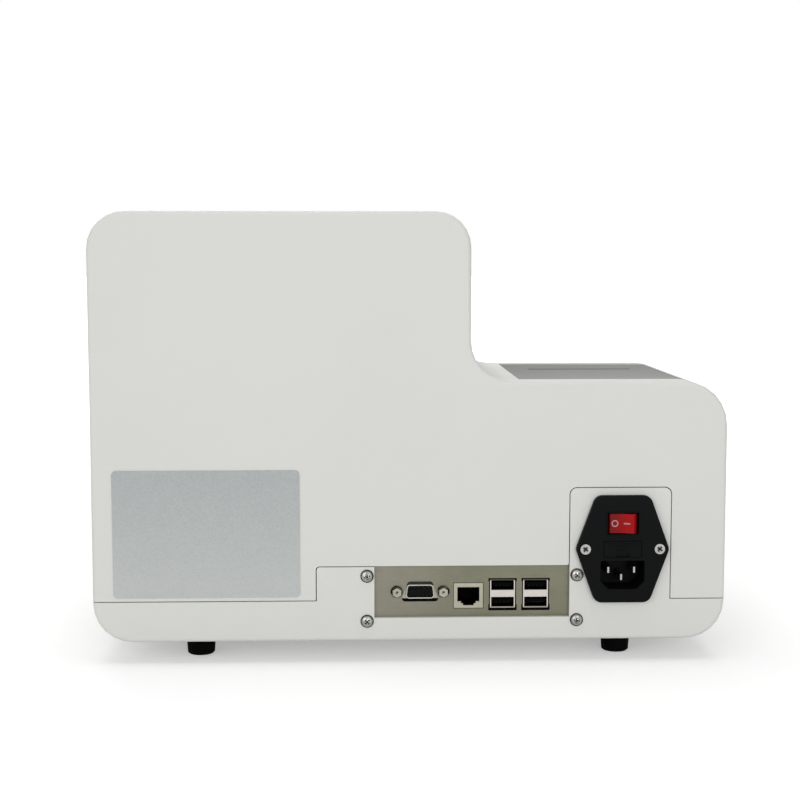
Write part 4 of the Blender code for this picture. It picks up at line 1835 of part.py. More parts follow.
def make_transport(rubber, steel, plastic, motor_finish):
    """Drive motor, pulleys, belt and carriage rods."""
    motor_x, idler_x = pulley_places()
    motor_end = CHASSIS_DEPTHS[0] - GAP
    can = place(motor_x, motor_end - DRIVE_MOTOR_LENGTH, DRIVE_Z), place(motor_x, motor_end, DRIVE_Z)
    motor = piece("transport_motor", rod(DRIVE_MOTOR_RADIUS, *can, ROUND_SIDES), motor_finish)
    shaft_end = BELT_PLACE + PULLEY_WIDTH / 2
    shaft_ends = place(motor_x, motor_end - SEAT, DRIVE_Z), place(motor_x, shaft_end, DRIVE_Z)
    join(motor, rod(DRIVE_SHAFT_RADIUS, *shaft_ends, TINY_SIDES))
    make_pulley("motor_pulley", motor_x, DRIVE_SHAFT_RADIUS + BEARING_GAP, plastic)
    make_pulley("idler_pulley", idler_x, IDLER_PIN_RADIUS + BEARING_GAP, plastic)

    def loop(radius):
        points = []
        for x, start in ((motor_x, math.pi / 2), (idler_x, -math.pi / 2)):
            for step in range(BELT_STEPS + 1):
                angle = start + math.pi * step / BELT_STEPS
                points.append(Vector((x + radius * math.cos(angle), DRIVE_Z + radius * math.sin(angle))))
        return points

    inner = PULLEY_RADIUS + GAP
    belt_depths = (BELT_PLACE - BELT_WIDTH / 2, BELT_PLACE + BELT_WIDTH / 2)
    piece("drive_belt", back_prism(loop(inner + BELT_THICKNESS), belt_depths, [loop(inner)]), rubber)
    plates = end_plate_xs()
    for name, depth in zip(("rear", "front"), rod_depths()):
        ends = place(plates[0][0], depth, rod_z()), place(plates[1][1], depth, rod_z())
        piece(f"carriage_rod_{name}", rod(ROD_RADIUS, *ends, TINY_SIDES), steel)


def make_optics(dark, lens_finish, steel, motor_finish):
    """The read head with its lens, the rod it slides on, and the screw and motor that move it."""
    middle = head_x()
    rail_z = head_rail_z()
    rear = TRAY_REAR + TRAY_WALL + HEAD_START
    bottom = RIB_TOP_Z + HEAD_ABOVE_RIBS
    xs = (middle - HEAD_WIDTH / 2, middle + HEAD_WIDTH / 2)
    block = box(xs, (rear, rear + HEAD_DEPTH), (bottom, bottom + HEAD_HEIGHT))
    head = piece("read_head", block, dark, place(middle, rear, rail_z))
    lens_depth = rear + HEAD_DEPTH / 2
    lens_ends = place(middle, lens_depth, bottom - LENS_LENGTH), place(middle, lens_depth, bottom + SEAT)
    join(head, rod(LENS_RADIUS, *lens_ends, SMALL_SIDES))
    through = (rear - OVERRUN, rear + HEAD_DEPTH + OVERRUN)
    for shift, radius in ((-HEAD_ROD_SPREAD, LEAD_SCREW_RADIUS), (HEAD_ROD_SPREAD, HEAD_ROD_RADIUS)):
        ends = [place(middle + shift, depth, rail_z) for depth in through]
        cut(head, rod(radius + ROD_GAP, *ends, TINY_SIDES))
    (rear_low, rear_high), (front_low, front_high) = head_plate_depths()
    rod_x = middle + HEAD_ROD_SPREAD
    guide = rod(HEAD_ROD_RADIUS, place(rod_x, rear_low, rail_z), place(rod_x, front_high, rail_z), TINY_SIDES)
    piece("head_guide_rod", guide, steel)
    screw_x = middle - HEAD_ROD_SPREAD
    motor_face = rear_low - GAP
    screw_ends = place(screw_x, motor_face + GAP, rail_z), place(screw_x, front_high, rail_z)
    screw = rod(LEAD_SCREW_RADIUS, *screw_ends, TINY_SIDES)
    piece("lead_screw", screw, steel, place(screw_x, rear_low, rail_z))
    can = place(screw_x, motor_face - HEAD_MOTOR_LENGTH, rail_z), place(screw_x, motor_face, rail_z)
    piece("read_head_motor", rod(HEAD_MOTOR_RADIUS, *can, ROUND_SIDES), motor_finish)


# The waste drawer

def make_waste_drawer(finish):
    """The drawer under the tunnel's end: a box behind a front with a moulded grip."""
    low, high = drawer_x()
    zs = (BASE_Z + DRAWER_BOTTOM, BASE_Z + DRAWER_BOTTOM + DRAWER_FRONT_HEIGHT)
    face = BODY_DEPTH
    front = oblong((low, high), zs, DRAWER_RADIUS)
    origin = place((low + high) / 2, face, sum(zs) / 2)
    drawer = piece("waste_drawer", back_prism(front, (face - DRAWER_FRONT_THICKNESS, face)), finish, origin)
    box_xs = (low + DRAWER_SIDE_STEP, high - DRAWER_SIDE_STEP)
    box_depths = (face - DRAWER_BOX_DEPTH, face - DRAWER_FRONT_THICKNESS + SEAT)
    box_zs = (zs[0] + 2 * RUNNING_GAP, zs[0] + 2 * RUNNING_GAP + DRAWER_BOX_HEIGHT)
    join(drawer, box(box_xs, box_depths, box_zs))
    room_depths = (box_depths[0] + DRAWER_WALL, face - DRAWER_FRONT_THICKNESS)
    room_xs = (box_xs[0] + DRAWER_WALL, box_xs[1] - DRAWER_WALL)
    cut(drawer, box(room_xs, room_depths, (box_zs[0] + DRAWER_WALL, box_zs[1] + OVERRUN)))
    middle = (low + high) / 2
    grip_top = zs[1] - GRIP_DROP
    grip_outline = rounded(
        [
            (face - SEAT, grip_top),
            (face + GRIP_PROUD, grip_top),
            (face + GRIP_PROUD, grip_top - GRIP_HEIGHT),
            (face + GRIP_PROUD - GRIP_UNDERCUT, grip_top - GRIP_HEIGHT),
            (face - SEAT, grip_top - GRIP_HEIGHT / 2),
        ],
        [0, GRIP_RADIUS, GRIP_RADIUS, GRIP_TIP_RADIUS, 0],
    )
    join(drawer, side_prism(grip_outline, (middle - GRIP_WIDTH / 2, middle + GRIP_WIDTH / 2)))
    return drawer


# The boards

def make_main_board(board_finish, metal):
    """The main board with its parts standing on it, and the processor's heatsink."""
    low = LOW_X + BOARD_OFFSET
    top = BASE_Z + BOARD_HEIGHT + BOARD_THICKNESS
    depths = (BOARD_REAR, BOARD_REAR + BOARD_DEPTH)
    sheet = box((low, low + BOARD_WIDTH), depths, (top - BOARD_THICKNESS, top))
    board = piece("main_board", sheet, board_finish)
    for x_share, depth_share, width_share, length_share, height_share in BOARD_PART_SHARES:
        x = low + BOARD_WIDTH * x_share
        depth = BOARD_REAR + BOARD_DEPTH * depth_share
        xs = (x, x + BOARD_WIDTH * width_share)
        part_depths = (depth, depth + BOARD_DEPTH * length_share)
        join(board, box(xs, part_depths, (top - SEAT, top + BOARD_DEPTH * height_share)))
    x = low + BOARD_WIDTH / 2 - HEATSINK_SIZE / 2
    depth = BOARD_REAR + BOARD_DEPTH / 2 - HEATSINK_SHIFT
    base = top + GAP
    block = box((x, x + HEATSINK_SIZE), (depth, depth + HEATSINK_SIZE), (base, base + HEATSINK_HEIGHT))
    sink = piece("cpu_heatsink", block, metal)
    gap = (HEATSINK_SIZE - HEATSINK_FINS * HEATSINK_FIN_THICKNESS) / (HEATSINK_FINS - 1)
    for channel in range(HEATSINK_FINS - 1):
        start = x + HEATSINK_FIN_THICKNESS + channel * (gap + HEATSINK_FIN_THICKNESS)
        ends = (depth - OVERRUN, depth + HEATSINK_SIZE + OVERRUN)
        cut(sink, box((start, start + gap), ends, (base + HEATSINK_BASE, base + HEATSINK_HEIGHT + OVERRUN)))


def make_power_supply(finish):
    """The power supply board with its transformer, capacitors and heatsink bar."""
    low = LOW_X + SUPPLY_INSET
    bottom = FLOOR_Z + SUPPLY_RISE
    top = bottom + BOARD_THICKNESS
    depths = (SUPPLY_REAR, SUPPLY_REAR + SUPPLY_DEPTH)
    board = piece("power_supply", box((low, low + SUPPLY_WIDTH), depths, (bottom, top)), finish)
    for x_share, depth_share, width_share, length_share, height_share in SUPPLY_PART_SHARES:
        x = low + SUPPLY_WIDTH * x_share
        depth = SUPPLY_REAR + SUPPLY_DEPTH * depth_share
        xs = (x, x + SUPPLY_WIDTH * width_share)
        part_depths = (depth, depth + SUPPLY_DEPTH * length_share)
        join(board, box(xs, part_depths, (top - SEAT, top + SUPPLY_WIDTH * height_share)))


def build():
    """Makes every piece."""
    clear_scene()
    shell_white = material("shell_white", (0.66, 0.66, 0.63), 0.45)
    black = material("black_plastic", (0.012, 0.013, 0.014), 0.42)
    rubber = material("black_rubber", (0.02, 0.02, 0.02), 0.75)
    grey = material("grey_plastic", (0.35, 0.355, 0.33), 0.5)
    tray_white = material("tray_white", (0.72, 0.73, 0.72), 0.4)
    panel_steel = material("panel_steel", (0.29, 0.28, 0.22), 0.45, 0.6)
    nickel = material("nickel", (0.62, 0.60, 0.55), 0.3, 1.0)
    steel = material("steel", (0.56, 0.57, 0.58), 0.3, 1.0)
    zinc = material("zinc_sheet", (0.5, 0.5, 0.5), 0.45, 0.9)
    label_silver = material("label_silver", (0.43, 0.46, 0.45), 0.5, 0.3)
    red = material("switch_red", (0.45, 0.006, 0.008), 0.25)
    insulator = material("insulator_black", (0.01, 0.01, 0.01), 0.6)
    glass = material("screen_glass", (0.01, 0.012, 0.015), 0.08)
    board_green = material("board_green", (0.02, 0.12, 0.05), 0.5)
    paper = material("paper", (0.82, 0.82, 0.8), 0.85)
    gear_white = material("gear_white", (0.75, 0.75, 0.7), 0.45)
    fuse_glass = material("fuse_glass", (0.7, 0.72, 0.72), 0.2)

    make_lower_housing(shell_white)
    make_upper_cover(shell_white)
    make_feet(rubber)
    make_label(label_silver)
    make_io_plate(panel_steel)
    make_io_screws(nickel)
    make_video_connector(nickel, insulator, nickel)
    make_network_jack(nickel)
    make_usb_stacks(nickel)
    make_inlet(black, nickel, red, steel, fuse_glass)
    make_screen(glass, zinc, zinc)
    make_printer_lid(grey, steel)
    make_paper_bin(black)
    make_printer_works(rubber, steel, gear_white, black, paper, gear_white)
    make_chassis(zinc)
    make_strip_tray(tray_white)
    make_push_bar(tray_white)
    make_transport(rubber, steel, gear_white, steel)
    make_optics(black, glass, steel, steel)
    make_waste_drawer(grey)
    make_main_board(board_green, zinc)
    make_power_supply(board_green)


build()
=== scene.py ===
"""Looks of the bench-top urine analyzer, seen from behind on a white floor.

Metres, +Z up. The rear panel faces +Y, the tall block stands on the +X side, the low block on the -X
side. Depth is counted forward from the housing's rear face.
"""

import json
import math

import bmesh
import bpy
from mathutils import Matrix, Vector


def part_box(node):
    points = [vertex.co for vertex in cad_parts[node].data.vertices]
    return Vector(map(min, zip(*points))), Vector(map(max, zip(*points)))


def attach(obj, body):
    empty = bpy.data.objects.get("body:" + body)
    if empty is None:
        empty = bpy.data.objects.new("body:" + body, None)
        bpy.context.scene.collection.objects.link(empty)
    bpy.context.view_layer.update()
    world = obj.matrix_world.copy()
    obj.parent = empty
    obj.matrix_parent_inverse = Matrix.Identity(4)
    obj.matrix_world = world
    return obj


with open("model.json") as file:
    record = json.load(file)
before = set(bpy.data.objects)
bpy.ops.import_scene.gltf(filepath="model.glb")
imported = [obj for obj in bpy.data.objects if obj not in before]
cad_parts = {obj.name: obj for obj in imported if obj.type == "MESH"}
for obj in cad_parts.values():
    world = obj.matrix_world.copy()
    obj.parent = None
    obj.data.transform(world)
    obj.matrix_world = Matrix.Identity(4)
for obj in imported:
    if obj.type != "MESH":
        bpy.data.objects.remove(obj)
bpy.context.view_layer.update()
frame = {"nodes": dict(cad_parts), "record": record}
nodes = frame["nodes"]
MM = 0.001
REAR_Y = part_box("lower_housing")[1].y


# Material helpers. Scales are in cells per metre, and most of a noise lies in its range.

NOISE_RANGE = (0.3, 0.7)
CLOUD_SCALE = 9.0
SMEAR_SCALE = 38.0
STAIN_SCALE = 70.0
BAND_CLOUD_SCALE = 60.0
BAND_GRAIN_SCALE = 1800.0
BAND_GRAIN_DEPTH = 0.006 * MM
GRADED_SHARE = 0.7


def new_material(name):
    """A material, its node tree and its shader node."""
    made = bpy.data.materials.new(name)
    made.use_nodes = True
    return made, made.node_tree, made.node_tree.nodes["Principled BSDF"]


def add(tree, kind, inputs=None, **settings):
    """Adds a node, with settings on it and values or links on its inputs."""
    node = tree.nodes.new(kind)
    for key, value in settings.items():
        setattr(node, key, value)
    for key, value in (inputs or {}).items():
        if isinstance(value, bpy.types.NodeSocket):
            tree.links.new(value, node.inputs[key])
        else:
            node.inputs[key].default_value = value
    return node


def object_coordinates(tree, scale=(1, 1, 1)):
    """Object coordinates in metres, stretched by a scale."""
    source = add(tree, "ShaderNodeTexCoord")
    mapping = add(tree, "ShaderNodeMapping", {"Vector": source.outputs["Object"], "Scale": scale})
    return mapping.outputs["Vector"]


def noise(tree, vector, scale, detail=2.0, roughness=0.5):
    """A noise value over the surface."""
    settings = {"Vector": vector, "Scale": scale, "Detail": detail, "Roughness": roughness}
    return add(tree, "ShaderNodeTexNoise", settings).outputs["Fac"]


def between(tree, value, low, high, out_low, out_high):
    """Maps a value from one range to another."""
    ends = {"Value": value, "From Min": low, "From Max": high, "To Min": out_low, "To Max": out_high}
    return add(tree, "ShaderNodeMapRange", ends).outputs["Result"]


def mixed(tree, share, first, second):
    """A colour between two colours."""
    node = add(tree, "ShaderNodeMix", data_type="RGBA")
    tree.links.new(share, node.inputs[0])
    for slot, value in ((6, first), (7, second)):
        if isinstance(value, bpy.types.NodeSocket):
            tree.links.new(value, node.inputs[slot])
        else:
            node.inputs[slot].default_value = (*value, 1)
    return node.outputs[2]


def shaded(colour, share):
    """A colour made lighter or darker by a share."""
    return tuple(min(channel * (1 + share), 1) for channel in colour)


def moulded(name, colour, roughness, grain=2400.0, depth=0.01 * MM, tint=0.03, level=0.3):
    """Moulded plastic: a spark-eroded grain, faint clouding and uneven gloss."""
    made, tree, shader = new_material(name)
    vector = object_coordinates(tree)
    cloud = between(tree, noise(tree, vector, CLOUD_SCALE, detail=3.0), *NOISE_RANGE, 0.0, 1.0)
    clouded = mixed(tree, cloud, shaded(colour, -tint), shaded(colour, tint))
    tree.links.new(clouded, shader.inputs["Base Color"])
    smears = noise(tree, vector, SMEAR_SCALE, detail=4.0, roughness=0.6)
    rough = between(tree, smears, *NOISE_RANGE, roughness * 0.92, roughness * 1.08)
    tree.links.new(rough, shader.inputs["Roughness"])
    fine = noise(tree, vector, grain, detail=1.0)
    bump = add(tree, "ShaderNodeBump", {"Height": fine, "Distance": depth, "Strength": 0.6})
    tree.links.new(bump.outputs["Normal"], shader.inputs["Normal"])
    shader.inputs["Specular IOR Level"].default_value = level
    return made


def metal(name, colour, roughness, stretch=(1, 1, 1), streak=900.0, depth=0.004 * MM, tint=0.12,
          metallic=1.0):
    """Bare or plated metal: fine streaks along one way, stains and uneven gloss."""
    made, tree, shader = new_material(name)
    streaks = noise(tree, object_coordinates(tree, stretch), streak, 2.0)
    stains = noise(tree, object_coordinates(tree), STAIN_SCALE, detail=4.0, roughness=0.6)
    share = between(tree, stains, *NOISE_RANGE, 0.0, 1.0)
    stained = mixed(tree, share, shaded(colour, -tint), shaded(colour, tint))
    tree.links.new(stained, shader.inputs["Base Color"])
    shader.inputs["Metallic"].default_value = metallic
    rough = between(tree, streaks, 0.25, 0.75, roughness * 0.8, roughness * 1.2)
    tree.links.new(rough, shader.inputs["Roughness"])
    bump = add(tree, "ShaderNodeBump", {"Height": streaks, "Distance": depth, "Strength": 0.5})
    tree.links.new(bump.outputs["Normal"], shader.inputs["Normal"])
    return made


def graded(made, first, second, start, end, axis="X"):
    """Tints a finish so that it runs from one colour to another along an axis."""
    tree = made.node_tree
    base = tree.nodes["Principled BSDF"].inputs["Base Color"]
    place = add(tree, "ShaderNodeSeparateXYZ", {0: add(tree, "ShaderNodeTexCoord").outputs["Object"]})
    share = between(tree, place.outputs[axis], start, end, 0.0, 1.0)
    tint = mixed(tree, share, first, second)
    blend = add(tree, "ShaderNodeMix", data_type="RGBA")
    blend.inputs[0].default_value = GRADED_SHARE
    tree.links.new(base.links[0].from_socket, blend.inputs[6])
    tree.links.new(tint, blend.inputs[7])
    tree.links.new(blend.outputs[2], base)
    return made


# Finishes. Colours are linear, and lengths in the calls are the depth of the grain.

SHELL = moulded("shell_white_moulded", (0.66, 0.665, 0.63), 0.5, 1900.0, 0.012 * MM, 0.012, 0.25)
TRAY = moulded("tray_white_moulded", (0.74, 0.75, 0.74), 0.4, 2400.0, 0.008 * MM, 0.01)
GREY = moulded("grey_moulded", (0.31, 0.315, 0.30), 0.8, 2200.0, 0.02 * MM, 0.03, 0.03)
LID = moulded("lid_grey_moulded", (0.31, 0.315, 0.30), 0.8, 2200.0, 0.02 * MM, 0.03, 0.03)
# Painted light: the lid runs lighter towards the rear and darker towards the front.
graded(LID, (0.38, 0.385, 0.37), (0.27, 0.275, 0.26), 0.137, 0.04, "Y")
BLACK = moulded("black_moulded", (0.0017, 0.002, 0.0023), 0.5, 2600.0, 0.015 * MM, 0.1, 0.06)
# Black of the connectors' liners and tongues, used also for films and rings that paint shade round the
# connectors and on the video flange.
BLACK_INNER_AND_SHADE = moulded("black_inner_and_painted_shade", (0.0014, 0.0014, 0.0016), 0.7, 2600.0, 0.01 * MM, 0.1, 0.03)
RUBBER = moulded("black_rubber_moulded", (0.0018, 0.0018, 0.0018), 0.8, 1500.0, 0.03 * MM, 0.15, 0.04)
RED = moulded("switch_red_clear", (0.24, 0.002, 0.003), 0.35, 3000.0, 0.003 * MM, 0.06, 0.12)
# Painted light and shade: the rocker runs from dark on its +X side to bright towards -X, across its two
# facets.
graded(RED, (0.11, 0.001, 0.002), (0.36, 0.003, 0.005), -0.107, -0.116)
MARK = moulded("switch_mark_white", (0.42, 0.24, 0.25), 0.5, 3000.0, 0.003 * MM, 0.03, 0.2)
LABEL = metal("label_silver_film", (0.37, 0.39, 0.385), 0.62, (1, 1, 1), 1500.0, 0.003 * MM, 0.02, 0.6)
graded(LABEL, (0.42, 0.435, 0.43), (0.31, 0.33, 0.33), 0.04, 0.10, "Z")
PANEL = metal("panel_plate", (0.19, 0.184, 0.138), 0.5, (6, 60, 90), 40.0, 0.004 * MM, 0.14, 0.85)
# Painted light: the plate runs lighter at +X and darker towards -X, in place of the studio's reflections.
graded(PANEL, (0.205, 0.193, 0.163), (0.13, 0.13, 0.092), 0.025, -0.03)
NICKEL = metal("nickel_plate", (0.44, 0.425, 0.385), 0.34, (1, 1, 1), 900.0, 0.004 * MM, 0.1)
# Painted reflection: the screws' plating is darker than the nickel, standing in for the dark surroundings
# that the heads reflect.
SCREW = metal("screw_plate", (0.30, 0.30, 0.29), 0.26, (1, 1, 1), 900.0, 0.004 * MM, 0.12)
SHIELD = metal("shield_plate", (0.30, 0.29, 0.235), 0.36, (1, 1, 1), 900.0, 0.004 * MM, 0.1)
PIN = metal("pin_plate", (0.36, 0.355, 0.33), 0.22, (1, 1, 1), 900.0, 0.003 * MM, 0.08)
# Painted shade: the contacts inside the connectors are coloured dark, as they lie in shade in the mouths.
CONTACT_IN_SHADE = metal("contact_in_painted_shade", (0.10, 0.085, 0.05), 0.45, (1, 1, 1), 1500.0, 0.002 * MM, 0.08)
STEEL = metal("ground_steel", (0.50, 0.51, 0.52), 0.32, (1, 1, 30), 300.0, 0.004 * MM, 0.08)
# Painted shade: a near-black metal for the crosses on the screw heads, the washers round the panel's screws
# and the upper strip on the video flange.
PAINTED_SHADE_METAL = metal("painted_shade_metal", (0.035, 0.034, 0.03), 0.6, (1, 1, 1), 1500.0, 0.004 * MM, 0.2)
ZINC = metal("zinc_plated_sheet", (0.50, 0.51, 0.51), 0.42, (1, 1, 1), 400.0, 0.006 * MM, 0.12)
GLASS = moulded("screen_dark_glass", (0.004, 0.005, 0.007), 0.07, 100.0, 0.0, 0.1, 0.5)
SCREEN = moulded("screen_picture_area", (0.012, 0.014, 0.017), 0.12, 900.0, 0.0, 0.05, 0.5)
BOARD = moulded("board_green_resist", (0.02, 0.13, 0.055), 0.4, 900.0, 0.02 * MM, 0.2, 0.4)
PAPER = moulded("thermal_paper", (0.80, 0.80, 0.78), 0.8, 3000.0, 0.008 * MM, 0.02, 0.2)
ACETAL = moulded("gear_acetal", (0.76, 0.76, 0.71), 0.4, 2400.0, 0.008 * MM, 0.03, 0.4)
FUSE = moulded("fuse_tube", (0.66, 0.69, 0.69), 0.12, 900.0, 0.0, 0.05, 0.5)

FINISHES = {
    "shell_white": SHELL,
    "tray_white": TRAY,
    "grey_plastic": GREY,
    "black_rubber": RUBBER,
    "black_plastic": BLACK,
    "switch_red": RED,
    "label_silver": LABEL,
    "panel_steel": PANEL,
    "nickel": NICKEL,
    "steel": STEEL,
    "zinc_sheet": ZINC,
    "screen_glass": GLASS,
    "fuse_glass": FUSE,
    "gear_white": ACETAL,
    "board_green": BOARD,
    "paper": PAPER,
}

OWN_FINISHES = {
    "printer_lid": LID,
    "io_screw_1": SCREW,
    "io_screw_2": SCREW,
    "io_screw_3": SCREW,
    "io_screw_4": SCREW,
    "network_jack": SHIELD,
    "video_shell": SHIELD,
    "video_jack_low": SHIELD,
    "video_jack_high": SHIELD,
    "inlet_screw_low": SCREW,
    "inlet_screw_high": SCREW,
    "inlet_pin_line": PIN,
    "inlet_pin_neutral": PIN,
    "inlet_pin_earth": PIN,
}


# Shape helpers

PIECE_SHARP_ANGLE = 35.0
BEVEL_ANGLE = 40.0


def at(x, depth, z):
    """A point from its place across, its depth from the rear face and its height."""
    return Vector((x, REAR_Y - depth, z))


def depths_of(node):
    """Least and greatest depth of a node."""
    low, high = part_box(node)
    return REAR_Y - high.y, REAR_Y - low.y


def centre_of(node):
    """The place across and the height of a node's middle."""
    low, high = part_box(node)
    return (low.x + high.x) / 2, (low.z + high.z) / 2


def half_sizes(node):
    """Half the width and half the height of a node."""
    low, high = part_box(node)
    return (high.x - low.x) / 2, (high.z - low.z) / 2


def add_box(bm, xs, depths, zs):
    """Adds a block to a working mesh."""
    middle = at(sum(xs) / 2, sum(depths) / 2, sum(zs) / 2)
    sizes = (abs(xs[1] - xs[0]), abs(depths[1] - depths[0]), abs(zs[1] - zs[0]))
    bmesh.ops.create_cube(bm, size=1, matrix=Matrix.Translation(middle) @ Matrix.Diagonal((*sizes, 1)))


def add_rod(bm, radius, start, end, sides):
    """Adds a round bar between two points to a working mesh."""
    along = end - start
    turn = along.to_track_quat("Z", "Y").to_matrix().to_4x4()
    bmesh.ops.create_cone(
        bm,
        cap_ends=True,
        segments=sides,
        radius1=radius,
        radius2=radius,
        depth=along.length,
        matrix=Matrix.Translation((start + end) / 2) @ turn,
    )


def join_rings(bm, rings):
    """Adds the faces between each ring of points and the next."""
    for ring, following in zip(rings, rings[1:]):
        for index in range(len(ring)):
            after = (index + 1) % len(ring)
            bm.faces.new((ring[index], ring[after], following[after], following[index]))


def add_lathe(bm, profile, matrix, sides=32):
    """Adds a turned shape from a profile of radius and height. A radius of zero closes the shape."""
    rings = []
    for radius, height in profile:
        if radius == 0:
            rings.append([bm.verts.new(matrix @ Vector((0, 0, height)))])
            continue
        ring = []
        for index in range(sides):
            angle = 2 * math.pi * index / sides
            point = Vector((radius * math.cos(angle), radius * math.sin(angle), height))
            ring.append(bm.verts.new(matrix @ point))
        rings.append(ring)
    for ring, following in zip(rings, rings[1:]):
        for index in range(sides):
            after = (index + 1) % sides
            corners = [ring[index % len(ring)], ring[after % len(ring)]]
            corners += [following[after % len(following)], following[index % len(following)]]
            unique = list(dict.fromkeys(corners))
            if len(unique) > 2:
                bm.faces.new(unique)


def outline_prism(bm, outline, matrix, thickness, holes=()):
    """Adds a flat outline with holes, given thickness, standing up from the matrix's own plane."""
    curve = bpy.data.curves.new("outline", "CURVE")
    curve.dimensions = "2D"
    curve.fill_mode = "BOTH"
    curve.extrude = thickness / 2
    for points in (outline, *holes):
        spline = curve.splines.new("POLY")
        spline.points.add(len(points) - 1)
        for point, target in zip(points, spline.points):
            target.co = (point[0], point[1], 0, 1)
        spline.use_cyclic_u = True
    holder = bpy.data.objects.new("outline", curve)
    bpy.context.scene.collection.objects.link(holder)
    mesh = bpy.data.meshes.new_from_object(holder.evaluated_get(bpy.context.evaluated_depsgraph_get()))
    bpy.data.objects.remove(holder, do_unlink=True)
    mesh.transform(matrix @ Matrix.Translation((0, 0, thickness / 2)))
    added = bmesh.new()
    added.from_mesh(mesh)
    bmesh.ops.remove_doubles(added, verts=added.verts, dist=0.0005 * MM)
    bmesh.ops.recalc_face_normals(added, faces=added.faces)
    added.to_mesh(mesh)
    added.free()
    bm.from_mesh(mesh)


def rounded(corners, radius, steps=5):
    """The corners of an outline, each swept round by a radius."""
    points = []
    for index, corner in enumerate(corners):
        corner = Vector(corner)
        back = (Vector(corners[index - 1]) - corner).normalized()
        ahead = (Vector(corners[(index + 1) % len(corners)]) - corner).normalized()
        half = back.angle(ahead) / 2
        centre = corner + (back + ahead).normalized() * radius / math.sin(half)
        first = corner + back * radius / math.tan(half) - centre
        last = corner + ahead * radius / math.tan(half) - centre
        sweep = math.atan2(first.cross(last), first.dot(last))
        points += [centre + Matrix.Rotation(sweep * step / steps, 2) @ first for step in range(steps + 1)]
    return points


def oblong(xs, ys, radius):
    """A rectangle with round corners."""
    return rounded([(xs[0], ys[0]), (xs[1], ys[0]), (xs[1], ys[1]), (xs[0], ys[1])], radius)


def slab(width, height, radius):
    """A rectangle with round corners, about its middle."""
    return oblong((-width / 2, width / 2), (-height / 2, height / 2), radius)


def rectangle(half, tall):
    """A rectangle about its middle, from half its width and half its height."""
    return [(-half, -tall), (half, -tall), (half, tall), (-half, tall)]


def in_mm(points):
    """Points that are written in millimetres."""
    return [(first * MM, second * MM) for first, second in points]


def circle(radius, sides=32):
    """Points round a circle."""
    angles = [2 * math.pi * index / sides for index in range(sides)]
    return [(radius * math.cos(angle), radius * math.sin(angle)) for angle in angles]


def facing_rear(x, depth, z):
    """A frame whose X runs across to the left of the rear view, whose Y runs up and whose Z points out."""
    return Matrix.Translation(at(x, depth, z)) @ Matrix(((-1, 0, 0), (0, 0, 1), (0, 1, 0))).to_4x4()


def piece(name, bm, finish, body, bevel=0.0):
    """Turns a working mesh into a piece that rides on a body."""
    bmesh.ops.recalc_face_normals(bm, faces=bm.faces)
    mesh = bpy.data.meshes.new(name)
    bm.to_mesh(mesh)
    bm.free()
    made = bpy.data.objects.new(name, mesh)
    bpy.context.scene.collection.objects.link(made)
    mesh.materials.append(finish)
    mesh.shade_smooth()
    mesh.set_sharp_from_angle(angle=math.radians(PIECE_SHARP_ANGLE))
    if bevel:
        soften(made, bevel)
    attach(made, body)
    return made


def soften(thing, width):
    """Rounds a piece's hard edges a little, so that they catch the light."""
    bevel = thing.modifiers.new("soft_edges", "BEVEL")
    bevel.width = width
    bevel.segments = 2
    bevel.limit_method = "ANGLE"
    bevel.angle_limit = math.radians(BEVEL_ANGLE)
    bevel.harden_normals = True


def dress_nodes():
    """Gives every node of the frame the finish of its slot."""
    slots = {entry["node"]: entry["material_slot"] for entry in frame["record"]["subparts"]}
    for name, node in nodes.items():
        node.data.materials.clear()
        node.data.materials.append(OWN_FINISHES.get(name, FINISHES[slots[name]]))


# The rear panel

# How deep a piece starts in the face that it sits on, how thick a piece is that only shades a face,
# and how far such a piece stands off.
SUNK = 0.02 * MM
FILM = 0.05 * MM
HAIR = 0.01 * MM


def frame_steps(bm, outline, matrix, steps):
    """Adds a tube that follows an outline, from rings of inset and height."""
    rings = []
    middle = sum((Vector((point[0], point[1])) for point in outline), Vector((0, 0))) / len(outline)
    for inset, height in steps:
        ring = []
        for index, point in enumerate(outline):
            before = Vector(outline[index - 1][:2])
            after = Vector(outline[(index + 1) % len(outline)][:2])
            along = (after - before).normalized()
            inward = Vector((-along.y, along.x))
            if inward.dot(middle - Vector(point[:2])) < 0:
                inward = -inward
            shifted = Vector(point[:2]) + inward * inset
            ring.append(bm.verts.new(matrix @ Vector((shifted.x, shifted.y, height))))
        rings.append(ring)
    join_rings(bm, rings + rings[:1])


FLANGE_FACE = depths_of("inlet_body")[0]
INLET_X = centre_of("inlet_body")[0]
ROCKER_Z = centre_of("power_rocker")[1]
ROCKER_RADIUS = 7.8 * MM
ROCKER_VALLEY = 3.35 * MM
ROCKER_CORNER_ANGLE = 35.0
ROCKER_LEAN = 10.0
ROCKER_PIVOT_DEPTH = 3.5 * MM


def rocker_facet(side):
    """The frame on the middle of one of the rocker's two facets."""
    corner = math.radians(ROCKER_CORNER_ANGLE)
    tip = Vector((side * ROCKER_RADIUS * math.cos(corner), ROCKER_RADIUS * math.sin(corner), 0))
    valley = Vector((0, ROCKER_VALLEY, 0))
    turn = Matrix.Rotation(-math.radians(ROCKER_LEAN), 3, "Z")
    tip, valley = turn @ tip, turn @ valley
    origin = at(INLET_X, FLANGE_FACE + ROCKER_PIVOT_DEPTH, ROCKER_Z)
    across = (tip - valley).normalized() * -side
    up = Vector((0, 0, 1))
    out = across.cross(up)
    matrix = Matrix((across, up, out)).transposed().to_4x4()
    return Matrix.Translation(origin + (tip + valley) / 2) @ matrix


